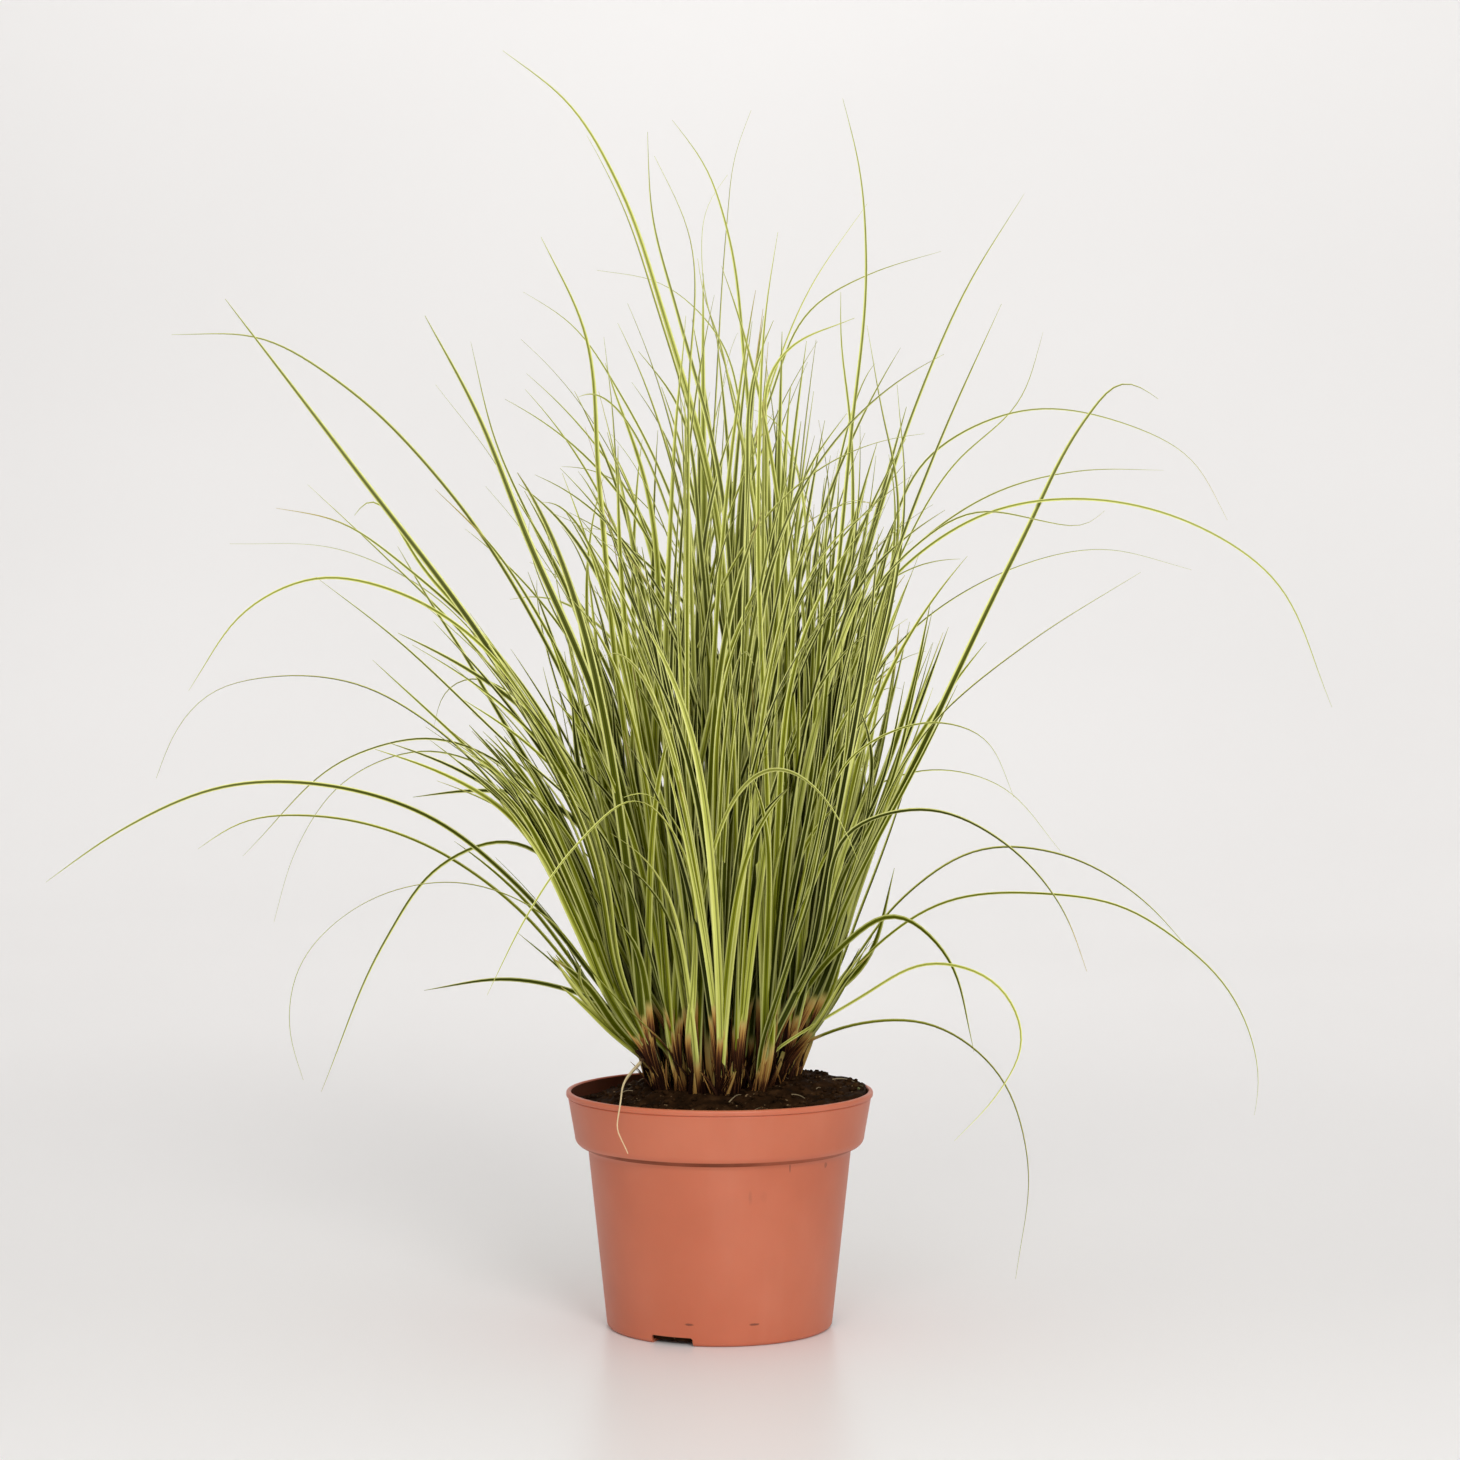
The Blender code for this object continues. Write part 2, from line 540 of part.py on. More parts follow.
def line_gaps(first, second):
    """Distances between each stretch of one line and each stretch of another."""
    u = np.diff(first, axis=0)[:, None]
    v = np.diff(second, axis=0)[None]
    w = first[:-1, None] - second[None, :-1]
    uu, vv, uv = (u * u).sum(-1), (v * v).sum(-1), (u * v).sum(-1)
    uw, vw = (u * w).sum(-1), (v * w).sum(-1)
    spread = np.maximum(uu * vv - uv * uv, 1e-18)
    s = np.clip((uv * vw - vv * uw) / spread, 0.0, 1.0)
    t = np.clip((uv * s + vw) / vv, 0.0, 1.0)
    s = np.clip((uv * t - uw) / uu, 0.0, 1.0)
    return np.linalg.norm(w + s[..., None] * u - t[..., None] * v, axis=-1)


def sheath_line(shoot):
    low = shoot["foot"] - shoot["axis"] * SHEATH_DEPTH
    return np.array([tuple(low), tuple(shoot["foot"] + shoot["axis"] * SHEATH_HEIGHT)])


def room_left(path, shoot, shoots):
    """How far the leaf stays from every other shoot, beyond both their half widths."""
    halves = half_widths(path, LEAF_WIDTH)
    room = math.inf
    for other in shoots:
        if other is shoot:
            continue
        beside = line_gaps(path, sheath_line(other)) - halves[:-1, None]
        room = min(room, beside.min() - SHEATH_FOOT_RADIUS)
        for leaf in other["leaves"]:
            needed = halves[:-1, None] + leaf["halves"][None, :-1]
            room = min(room, (line_gaps(path, leaf["path"]) - needed).min())
    return room


def stays_in_bounds(path):
    """Whether a leaf clears the pot's rim and the floor, and reaches no further than the clump does."""
    radii = np.hypot(path[:, 0], path[:, 1])
    over_rim = (radii > CROWN_CLEAR_RADIUS) & (radii < RIM_CLEAR_RADIUS)
    clears_rim = not (over_rim & (path[:, 2] < RIM_CLEAR_HEIGHT)).any()
    return clears_rim and path[:, 2].min() > FLOOR_CLEARANCE and radii.max() < MOST_REACH


def stays_in_fan(path):
    """Whether a leaf, as the eye sees it, stays among the drawn ones and off the pot's front."""
    scales = 1.0 + path[:, 1] / EYE_DISTANCE
    across = np.abs(path[:, 0] / scales)
    height = EYE_HEIGHT + (path[:, 2] - EYE_HEIGHT) / scales
    outside = across > FAN_FOOT + FAN_SLOPE * (height - SOIL_LEVEL)
    outside |= height > FAN_TOP - FAN_SHOULDER * across
    in_front = (path[:, 1] < FRONT_DEPTH) & (height < FRONT_LOWEST)
    return not (outside | in_front).any()


def add_leaf(shoot, path, width=LEAF_WIDTH):
    shoot["leaves"].append({"path": path, "halves": half_widths(path, width)})


def nearest_shoot(foot, shoots):
    """The shoot with room for a leaf that stands nearest a place given from the crown's middle."""
    free = [shoot for shoot in shoots if len(shoot["leaves"]) < LEAVES_PER_SHOOT]
    spot = Vector((foot[0] * MM, foot[1] * MM + CROWN_SETBACK))
    return min(free, key=lambda shoot: (shoot["foot"].xy - spot).length)


def place_drawn_leaves(shoots):
    """Each drawn leaf takes the depth nearest its own at which it clears the leaves before it."""
    for foot, tip_depth, outline in DRAWN_LEAVES:
        shoot = nearest_shoot(foot, shoots)
        for shift in sorted(range(-MOST_DEPTH_SHIFT, MOST_DEPTH_SHIFT + 1, DEPTH_STEP), key=abs):
            path = drawn_path(shoot, (tip_depth + shift) * MM, outline)
            if room_left(path, shoot, shoots) > LEAF_CLEARANCE:
                add_leaf(shoot, path)
                break


def place_dry_strand(shoots):
    shoot = nearest_shoot(STRAND_FOOT, shoots)
    root = root_of(shoot, STRAND_ROOT * SHEATH_HEIGHT)
    points = [tuple(root)] + [tuple(value * MM for value in point) for point in DRY_STRAND]
    add_leaf(shoot, pared(smooth_path(points)), STRAND_WIDTH)


def place_sown_leaves(shoots):
    """Fills every shoot up with leaves that follow the rule, each sown again until it has room."""
    rng = random.Random(SEED)
    for shoot in shoots:
        tries = 0
        while len(shoot["leaves"]) < LEAVES_PER_SHOOT and tries < MOST_TRIES:
            tries += 1
            path = sown_path(shoot, rng)
            placed_well = stays_in_bounds(path) and stays_in_fan(path)
            if placed_well and room_left(path, shoot, shoots) > LEAF_CLEARANCE:
                add_leaf(shoot, path)


# Leaf and shoot solids


def leaf_section(guides):
    """The leaf's cross-section, one unit wide: two edges and a keel under them."""
    curve = bpy.data.curves.new("leaf_section", "CURVE")
    spline = curve.splines.new("POLY")
    corners = [(0.5, LEAF_THICKNESS / 2), (0.0, -LEAF_THICKNESS / 2), (-0.5, LEAF_THICKNESS / 2)]
    spline.points.add(len(corners) - 1)
    for point, (across, up) in zip(spline.points, corners):
        point.co = (across, up, 0.0, 1.0)
    spline.use_cyclic_u = True
    section = add_object("leaf_section", curve, guides)
    section.hide_render = True
    return section


def leaf_solid(leaf, section, collection):
    """One leaf as a closed mesh: its section swept along its line, narrowing to the tip."""
    curve = bpy.data.curves.new("leaf", "CURVE")
    curve.dimensions = "3D"
    curve.twist_mode = "MINIMUM"
    curve.bevel_mode = "OBJECT"
    curve.bevel_object = section
    curve.use_fill_caps = True
    spline = curve.splines.new("POLY")
    spline.points.add(len(leaf["path"]) - 1)
    reach = leaf["path"][-1] - leaf["path"][0]
    for point, place, half in zip(spline.points, leaf["path"], leaf["halves"]):
        point.co = (*place, 1.0)
        point.radius = 2.0 * half
        point.tilt = math.atan2(reach[1], reach[0])
    return freeze(add_object("leaf", curve, collection))


def build_shoot(shoot, section, material, collection):
    mesh = bpy.data.meshes.new(shoot["name"])
    shape = bmesh.new()
    add_sheath(shape, shoot, 0.0, SHEATH_DEPTH, SHEATH_HEIGHT)
    shape.to_mesh(mesh)
    shape.free()
    body = add_object(shoot["name"], mesh, collection)
    leaves = [leaf_solid(leaf, section, collection) for leaf in shoot["leaves"]]
    for leaf in leaves:
        boolean(body, leaf, "UNION")
    body = freeze(body)
    for leaf in leaves:
        bpy.data.objects.remove(leaf, do_unlink=True)
    body.data.materials.clear()
    body.data.materials.append(material)
    return body


def build_clump():
    clear_scene()
    collection = make_collection("potted_grass_clump")
    cutters = make_collection("cutters")
    shoots = plan_shoots()
    place_dry_strand(shoots)
    place_drawn_leaves(shoots)
    place_sown_leaves(shoots)
    build_pot(collection, cutters)
    build_soil(shoots, collection, cutters)
    section = leaf_section(cutters)
    greens = {
        "centre": make_material("grass_centre", (0.115, 0.135, 0.018), 0.5),
        "middle": make_material("grass_middle", (0.165, 0.185, 0.032), 0.5),
        "outer": make_material("grass_outer", (0.230, 0.235, 0.060), 0.5),
    }
    for shoot in shoots:
        build_shoot(shoot, section, greens[shoot["ring"]], collection)


build_clump()
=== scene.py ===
"""Looks of the potted ornamental grass clump: leaves, sheaths, compost, pot, studio and camera."""

import random
from math import ceil, cos, hypot, pi, radians, sin, sqrt, tau
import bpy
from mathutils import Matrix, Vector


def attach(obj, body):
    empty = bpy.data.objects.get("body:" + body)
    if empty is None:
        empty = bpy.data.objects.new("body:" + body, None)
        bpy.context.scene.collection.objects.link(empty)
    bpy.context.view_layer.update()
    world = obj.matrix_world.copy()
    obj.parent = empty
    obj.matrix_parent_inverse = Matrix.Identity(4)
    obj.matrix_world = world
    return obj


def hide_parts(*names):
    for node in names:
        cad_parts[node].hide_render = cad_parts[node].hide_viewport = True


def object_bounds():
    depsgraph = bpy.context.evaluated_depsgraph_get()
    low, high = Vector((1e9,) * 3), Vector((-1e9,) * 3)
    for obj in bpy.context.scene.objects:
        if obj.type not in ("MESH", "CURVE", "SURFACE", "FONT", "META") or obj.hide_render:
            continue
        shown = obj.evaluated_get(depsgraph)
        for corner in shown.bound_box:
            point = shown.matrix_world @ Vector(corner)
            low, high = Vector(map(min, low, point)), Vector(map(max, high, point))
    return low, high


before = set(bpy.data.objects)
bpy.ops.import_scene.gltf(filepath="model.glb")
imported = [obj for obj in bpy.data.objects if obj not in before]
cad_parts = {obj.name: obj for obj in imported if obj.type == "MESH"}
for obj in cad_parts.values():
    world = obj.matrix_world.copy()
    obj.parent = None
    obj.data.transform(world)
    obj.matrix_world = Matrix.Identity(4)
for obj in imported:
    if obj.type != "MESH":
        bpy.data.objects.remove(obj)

from types import SimpleNamespace

import bmesh
import bpy
import numpy as np
from mathutils import Matrix, Vector, noise

MM = 0.001
CAD_BOX = [list(corner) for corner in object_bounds()]

# Between the compost and the pot, and past the pot's wall where a slot is cut
GAP = 0.3 * MM

# Pot, as in the part
POT_HEIGHT = 100.0 * MM
RIM_RADIUS = 65.0 * MM
BASE_RADIUS = 47.9 * MM
WALL_TOP_RADIUS = 55.5 * MM
BAND_HEIGHT = 23.5 * MM
BAND_FOOT_RADIUS = 61.4 * MM
BAND_CORNER = 4.5 * MM
LEDGE_TURN = 75.0
# Painted shade in the crease under the band: how strong it is, and how far below the band's foot it
# reaches
CREASE_PAINTED_SHADE = 0.7
CREASE_DROP = 0.7 * MM
LIP_HEIGHT = 2.1 * MM
LIP_DEPTH = 0.8 * MM
WALL = 1.4 * MM
BASE_EDGE = 2.0 * MM
SLOT_COUNT = 3
SLOT_FIRST_ANGLE = radians(-114.5)
SLOT_LENGTH = 18.7 * MM
SLOT_HEIGHT = 3.6 * MM
SLOT_REACH = 11.0 * MM

# Potting compost
SOIL_LEVEL = 94.0 * MM
SIDE_MOUND = 7.0 * MM
SIDE_MOUND_START = 5.0 * MM
SIDE_MOUND_END = 55.0 * MM
CROWN_MOUND = 6.0 * MM
CROWN_MOUND_TOP = 32.0 * MM
CROWN_MOUND_FOOT = 56.0 * MM
SOIL_BUMP = 1.3 * MM
SOIL_BUMP_SPACING = 13.0 * MM
SOIL_EDGE = RIM_RADIUS - LIP_DEPTH - WALL - 0.6 * MM

# Shoots
SHOOT_COUNT = 38
CROWN_RADIUS = 33.0 * MM
CROWN_SETBACK = 13.0 * MM
GOLDEN_ANGLE = radians(137.508)
CENTRE_RING = 14.0 * MM
MIDDLE_RING = 24.0 * MM
SHEATH_HEIGHT = 30.0 * MM
SHEATH_DEPTH = 6.0 * MM
SHEATH_FOOT_RADIUS = 3.1 * MM
LEAN_CENTRE = radians(2.0)
LEAN_OUTER = radians(20.0)

# Leaves
LEAF_WIDTH = 2.6 * MM
LEAF_TIP_SHARE = 0.18
LEAF_TAPER = 2.2
LEAF_CLEARANCE = 0.25 * MM
STRAIGHT_STEP = 88.0 * MM
BEND_STEP = radians(25.0)
LEAVES_PER_SHOOT = 3
LINE_POINTS = 200
ROOT_SPREAD = 0.6 * MM
ROOT_RISE = 90.0 * MM
LOWEST_ROOT = 0.3
HIGHEST_ROOT = 0.7
STRAND_ROOT = 0.45
STRAND_WIDTH = 1.7 * MM
DEPTH_POWER = 1.35
DEPTH_SHIFTS = sorted(range(-90, 91, 6), key=abs)

# Leaves sown by rule, and what they stay clear of
SEED = 1107
MOST_TRIES = 400
SOWN_STEPS = 40
SOWN_LENGTHS = (210.0 * MM, 340.0 * MM)
SOWN_TURN = 0.5
SOWN_LEAN_SHARE = 0.5
SOWN_LEAN = (radians(4.0), radians(5.0))
LEAST_LEAN = radians(1.0)
SOWN_BEND = (radians(15.0), radians(60.0))
SOWN_DROOP = radians(95.0)
SOWN_BEND_POWER = (1.3, 2.2)
SOWN_SWAY = radians(14.0)
RIM_CLEAR_HEIGHT = 106.0 * MM
RIM_CLEAR_RADIUS = 68.5 * MM
CROWN_CLEAR_RADIUS = 52.0 * MM
FLOOR_CLEARANCE = 12.0 * MM
MOST_REACH = 262.0 * MM
FAN_FOOT = 44.0 * MM
FAN_SLOPE = 0.29
FAN_TOP = 400.0 * MM
FAN_SHOULDER = 0.45
FRONT_DEPTH = -60.0 * MM
FRONT_LOWEST = 190.0 * MM

# The camera, which is also the eye that the drawn leaves are drawn for
EYE_DISTANCE = 1418.0 * MM
EYE_HEIGHT = 294.0 * MM
VIEW_CENTRE = (4.4 * MM, 252.4 * MM)
SIGHT = (0.0, 1.0, 0.0)
VIEW_WIDTH = 617.2 * MM

# Leaves drawn one by one, in millimetres: where the leaf stands (x, y) from the crown's middle, the
# depth y of its tip, its width as a share of LEAF_WIDTH, and the points (x, z) that it passes through as
# the eye sees them, foot to tip.
DRAWN_LEAVES = [
    # arching to the left, from the top down
    ((-20, 12), 40, 0.75, [(-34, 185), (-74, 290), (-115, 354), (-159, 398), (-194, 418), (-231, 419)]),
    ((-24, -6), -60, 1.1, [(-51, 205), (-93, 280), (-157, 367), (-208, 434)]),
    ((-22, 22), 70, 0.55, [(-42, 185), (-68, 239), (-106, 290), (-144, 328), (-174, 356)]),
    ((-26, -14), -30, 0.6, [(-52, 215), (-93, 284), (-132, 321), (-161, 341), (-187, 346)]),
    ((-27, 6), 90, 0.55, [(-50, 205), (-85, 269), (-123, 311), (-161, 329), (-207, 331)]),
    ((-24, -20), -110, 0.6,
     [(-46, 190), (-76, 256), (-102, 290), (-136, 311), (-170, 317), (-199, 304), (-224, 269)]),
    ((-33, -6), -80, 0.7,
     [(-51, 158), (-81, 210), (-121, 254), (-153, 272), (-190, 275), (-216, 268), (-230, 252),
      (-238, 232)]),
    ((-30, 12), 70, 0.5, [(-55, 180), (-85, 233), (-119, 249), (-157, 241), (-202, 199)]),
    ((-26, 20), 110, 0.45, [(-51, 167), (-85, 228), (-123, 244), (-159, 231), (-180, 201), (-189, 171)]),
    ((-34, -2), -60, 0.72,
     [(-50, 143), (-85, 186), (-123, 216), (-165, 229), (-208, 229), (-255, 209), (-285, 188)]),
    ((-34, 8), 60, 0.65, [(-52, 138), (-89, 180), (-127, 205), (-170, 216), (-204, 213), (-221, 202)]),
    ((-28, -20), -120, 0.4,
     [(-50, 145), (-74, 174), (-110, 188), (-149, 180), (-178, 152), (-182, 125), (-176, 104)]),
    ((-32, 16), 40, 0.8, [(-48, 148), (-62, 188), (-89, 206), (-119, 195), (-142, 163), (-169, 99)]),
    ((-30, -14), -90, 0.75, [(-57, 140), (-89, 147), (-125, 142)]),
    ((-8, -26), -150, 0.6, [(-10, 160), (-17, 205), (-34, 224), (-59, 205), (-81, 174), (-98, 140)]),
    ((-33, 2), -50, 0.5, [(-52, 134), (-66, 150), (-86, 167)]),
    ((-20, 26), 110, 1.2, [(-40, 185), (-74, 223), (-102, 227), (-130, 224)]),
    ((-18, 28), 130, 0.45, [(-40, 190), (-68, 231), (-87, 267), (-106, 275), (-117, 269), (-121, 254)]),
    ((-30, 18), 150, 0.7, [(-45, 170), (-68, 205), (-106, 244), (-147, 282)]),
    ((-20, -24), -130, 0.5, [(-51, 210), (-89, 246), (-140, 294), (-170, 317)]),
    ((-26, -10), -70, 0.75, [(-45, 165), (-62, 205), (-77, 224), (-101, 243)]),
    ((-26, -2), -20, 0.9, [(-48, 205), (-68, 248), (-98, 290), (-124, 319), (-150, 351), (-154, 343)]),
    ((-26, 4), 30, 0.8, [(-50, 180), (-72, 224), (-91, 255), (-109, 286), (-122, 306), (-136, 330)]),
    ((-18, 2), 20, 0.7, [(-34, 190), (-67, 283), (-78, 303), (-96, 330), (-120, 354)]),
    ((-30, -8), -60, 0.9, [(-46, 140), (-57, 165), (-70, 192), (-88, 219), (-104, 234), (-122, 248)]),
    # rising to the upper left
    ((-16, -10), -40, 1.3, [(-30, 180), (-55, 273), (-81, 333), (-103, 388), (-124, 427)]),
    ((-16, 6), 60, 0.55, [(-28, 188), (-51, 282), (-76, 333), (-95, 375), (-105, 416)]),
    ((-12, 20), 120, 0.45, [(-34, 197), (-68, 299), (-93, 362), (-120, 398)]),
    ((-10, -14), -50, 1.1, [(-20, 150), (-42, 265), (-51, 358), (-57, 422), (-75, 460)]),
    ((-6, 12), 90, 0.55, [(-8, 180), (-17, 341), (-42, 394), (-64, 425), (-83, 437)]),
    # upright
    ((4, 24), 120, 0.55, [(8, 180), (11, 350), (-3, 422), (-25, 441), (-52, 446)]),
    ((-6, -8), -40, 0.95, [(-6, 180), (-8, 330), (-19, 393), (-34, 412)]),
    ((2, -4), -30, 0.9, [(4, 180), (-4, 358), (-23, 426), (-42, 481), (-64, 517), (-91, 538)]),
    ((4, -18), -90, 0.95, [(6, 180), (-2, 371), (-19, 434), (-28, 468), (-30, 504)]),
    ((12, 6), 40, 0.8, [(17, 180), (11, 401), (3, 464), (-6, 490), (-20, 509)]),
    ((-4, 20), 100, 0.7, [(-8, 180), (-2, 392), (3, 468), (6, 494), (13, 513)]),
    ((-10, -24), -120, 0.8, [(-13, 180), (-13, 392), (-13, 464), (-27, 494)]),
    ((10, 30), 140, 0.55, [(17, 180), (8, 384), (-8, 451), (-6, 473), (3, 486)]),
    ((22, -10), -60, 0.8, [(36, 175), (55, 371), (62, 451), (59, 490), (52, 518)]),
    ((0, 10), 60, 0.6, [(0, 180), (17, 384), (38, 439), (62, 474)]),
    ((14, -28), -130, 0.8, [(21, 180), (17, 371), (20, 430), (25, 462)]),
    ((8, 18), 100, 0.5, [(8, 188), (21, 392), (38, 430), (64, 445), (93, 454)]),
    ((2, -12), -50, 1.1, [(14, 180), (11, 367), (4, 398), (0, 418), (-6, 432), (-9, 451)]),
    ((-8, -16), -70, 1.1, [(-20, 200), (-19, 367), (-18, 384), (-15, 413), (-14, 427)]),
    ((-12, -4), -20, 1.15, [(-26, 200), (-34, 367), (-40, 384), (-44, 394), (-48, 407)]),
    ((6, -20), -90, 1.1, [(10, 200), (12, 371), (12, 384), (16, 408), (23, 425)]),
    ((10, -6), -40, 1.0, [(18, 200), (20, 367), (22, 405), (33, 417), (50, 423), (57, 426)]),
    ((0, -18), -70, 1.0, [(10, 250), (30, 345), (40, 367), (54, 386)]),
    ((26, -8), -50, 1.15, [(52, 220), (78, 367), (76, 386), (75, 398)]),
    ((26, 2), 10, 1.3, [(50, 190), (70, 235), (81, 268), (89, 306)]),
    ((-14, 14), 80, 0.8, [(-30, 200), (-44, 367), (-45, 384), (-49, 418)]),
    ((14, 8), 60, 0.8, [(26, 200), (28, 367), (29, 388), (30, 398)]),
    ((20, 2), 20, 0.8, [(40, 200), (56, 367), (55, 384), (51, 418), (51, 437)]),
    ((24, 4), 40, 0.8, [(48, 220), (73, 367), (70, 379), (62, 423)]),
    ((27, -4), -20, 0.7, [(50, 185), (72, 228), (83, 273), (90, 303)]),
    # rising to the upper right
    ((20, 8), 50, 0.75, [(36, 175), (64, 333), (85, 396), (104, 439), (128, 478)]),
    ((24, -14), -70, 0.75, [(38, 170), (68, 307), (95, 379), (119, 432)]),
    # arching to the right, from the top down
    ((28, -4), -30, 1.15, [(45, 155), (89, 252), (127, 331), (157, 387), (170, 401), (185, 392)]),
    ((24, 12), 70, 0.45,
     [(42, 180), (64, 299), (89, 369), (132, 388), (170, 382), (199, 367), (214, 341)]),
    ((26, -10), -40, 0.55,
     [(44, 180), (76, 320), (115, 345), (157, 350), (199, 340), (233, 318), (259, 262)]),
    ((22, 20), 110, 0.5, [(42, 180), (76, 290), (119, 319), (161, 329), (199, 320)]),
    ((24, -20), -100, 0.5, [(46, 167), (91, 256), (132, 290), (178, 319)]),
    ((18, 26), 150, 0.4, [(40, 188), (76, 324), (119, 354), (153, 362), (187, 362)]),
    ((18, 16), 90, 0.4, [(38, 188), (68, 307), (98, 364), (127, 392), (136, 420)]),
    ((14, -24), -140, 0.45, [(40, 201), (76, 324), (108, 345), (140, 340), (157, 338), (163, 345)]),
    ((33, -4), -50, 0.4,
     [(64, 159), (93, 179), (140, 183), (170, 178), (196, 162), (214, 145), (226, 121), (229, 100),
      (227, 89)]),
    ((33, 8), 50, 0.65, [(50, 145), (76, 180), (110, 202), (144, 200), (182, 178), (199, 159)]),
    ((26, -20), -120, 0.75, [(42, 160), (55, 210), (89, 219), (123, 203), (146, 176), (156, 150)]),
    ((28, 16), 100, 0.45, [(40, 165), (55, 222), (89, 236), (119, 229), (144, 201)]),
    ((20, -26), -150, 0.4, [(36, 175), (59, 244), (93, 256), (112, 250), (125, 224)]),
    ((31, -10), -60, 0.9, [(51, 160), (74, 175), (95, 159), (108, 116)]),
    ((34, -6), -75, 0.62, [(59, 128), (89, 128), (119, 106), (131, 70), (126, 19)]),
    ((32, -14), -110, 0.45, [(58, 138), (89, 154), (119, 144), (129, 121), (119, 99), (100, 78)]),
    ((34, 2), 20, 1.1, [(62, 154), (74, 194)]),
]

# The dry strand that bends down over the rim at the front left: real (x, y, z) in millimetres. The looks
# start it higher, among the feet of the leaves.
STRAND_FOOT = (-28, -24)
DRY_STRAND = [
    (-35.2, -18.5, 110.4), (-38.4, -29, 110.6), (-39.6, -42, 106.6), (-40.2, -53.4, 101.6),
    (-41, -54.8, 96.5), (-41.8, -54, 91), (-39.4, -53.4, 86), (-37.2, -53.8, 81),
]
SEEN_STRAND = [(-32, -13, 114.5)] + DRY_STRAND[2:]
SEEN_STRAND_WIDTH = 1.6 * MM

# Leaves that only the looks have: streams of leaves that the eye sees side by side, with the foot and
# tip depth as above, which stray from leaf to leaf, how many leaves, how far in millimetres they spread
# beside each other, and the (x, z) points of their middle line.
STREAMS = [
    ((18, 0), 0, 9, 5.0, [(30, 180), (36, 270), (42, 340), (46, 385)]),
    ((-26, -12), -60, 16, 5.0, [(-43, 150), (-50, 195), (-60, 225), (-80, 260), (-100, 287), (-118, 310)]),
    ((-30, -8), -60, 19, 5.0, [(-46, 140), (-57, 168), (-70, 198), (-86, 224), (-102, 240), (-122, 255)]),
    ((-26, 6), 20, 12, 5.0, [(-44, 150), (-58, 190), (-74, 222), (-87, 242), (-100, 258)]),
    ((-20, 0), 0, 8, 7.0, [(-36, 170), (-48, 215), (-56, 262), (-64, 305)]),
    ((24, -8), -40, 12, 6.0, [(38, 150), (48, 200), (58, 250), (68, 300), (76, 345)]),
    ((26, 6), 20, 19, 7.0, [(42, 145), (56, 190), (68, 230), (78, 262), (88, 300)]),
    ((20, 6), 30, 13, 8.0, [(34, 180), (46, 280), (62, 350), (72, 392)]),
    ((-14, 0), 0, 5, 8.0, [(-24, 180), (-30, 290), (-36, 370), (-40, 405)]),
    ((-6, -8), -30, 8, 8.0, [(-8, 180), (-10, 300), (-13, 400), (-15, 445)]),
    ((4, 4), 10, 9, 8.0, [(8, 180), (8, 300), (9, 390), (10, 430)]),
    ((14, -4), -20, 12, 8.0, [(22, 180), (26, 300), (29, 380), (32, 425)]),
    ((-33, -8), -30, 9, 3.5, [(-46, 127), (-57, 143), (-70, 163)]),
    ((32, -6), -30, 9, 3.5, [(42, 128), (52, 146), (62, 168)]),
]
STREAM_FOOT_STRAYING = (4.0, 9.0)
STREAM_DEPTH_STRAYING = 25.0
STREAM_LENGTHS = (0.65, 1.05)
STREAM_WIDTHS = (0.95, 1.5)

# How broad the leaves of the solids look: the drawn ones are widened, and the sown ones all have one width
DRAWN_WIDENING = 1.1
SOWN_SEEN_WIDTH = 1.9 * MM

# A leaf beside each leaf of the solids, shorter beside one that droops or ends far out, and a dense core
# in three groups. Each group has its leaves per shoot, the lengths, how much their headings stray, how
# far they bend over and how late, their widths, and how high the clump may reach with them. The core's
# leans and bends are in degrees, shifts and root places in millimetres, and widths shares of LEAF_WIDTH.
DROOP = 25.0 * MM
FAR_TIP = 95.0 * MM
COMPANION_LOWEST_TOP = 210.0 * MM
COMPANION_LENGTHS = (0.5, 0.9)
OUTLYING_LENGTHS = (0.3, 0.6)
COMPANION_TURN = 0.08
COMPANION_NOD = 0.03
COMPANION_SHIFT = 1.2
COMPANION_WIDTHS = (0.75, 1.05)
CORE_SLOPE = 0.17
CORE_LEAN = 2.0
CORE_OUTWARD_LEAN = 9.0
CORE_LEAN_STRAYING = 3.5
CORE_SWAY = 12.0
CORE_ROOT = 0.6
CORE_ROOT_STRAYING = 1.3
CORE_GROUPS = [
    (6, (60.0 * MM, 190.0 * MM, 130.0 * MM), 0.35, (4.0, 30.0), (1.2, 2.4), (1.0, 1.5), FAN_TOP),
    (3, (150.0 * MM, 320.0 * MM, 230.0 * MM), 0.45, (6.0, 40.0), (1.4, 2.8), (1.0, 1.5), FAN_TOP),
    (1, (250.0 * MM, 420.0 * MM, 340.0 * MM), 3.0, (15.0, 60.0), (1.5, 3.0), (0.6, 0.95), 455.0 * MM),
]
TRIES_PER_LEAF = 9

# Blades: how closely they follow their line, how they start in the compost and clasp, how far they turn
# from the eye, and their tones from dark to light
RING_STEP = 4.5 * MM
SMOOTHINGS = 5
ROOTED_DEPTH = 3.0 * MM
ROOTED_SPREAD = (0.4, 3.4)
CLASP_HEIGHT = 24.0 * MM
BROAD_LEAF = 0.99
BROAD_TURN = 0.3
FINE_TURNS = (0.3, 0.8)
HIDDEN_TURNS = (-1.1, 1.1)
DRAWN_TONES = (0.35, 1.0)
OUTLYING_TONES = (0.25, 0.75)
HIDDEN_TONES = (0.0, 1.0)

# Dead sheaths of each shoot, and which shoots have dark feet: some, and all at the far right
DEAD_SHEATHS = 7
SHEATH_WIDTH = 2.0 * MM
FRAY_WIDTH = 0.9 * MM
DARK_SIDE = 22.0 * MM
DARK_SHARE = 0.25
CLUMP_SEED = 4021
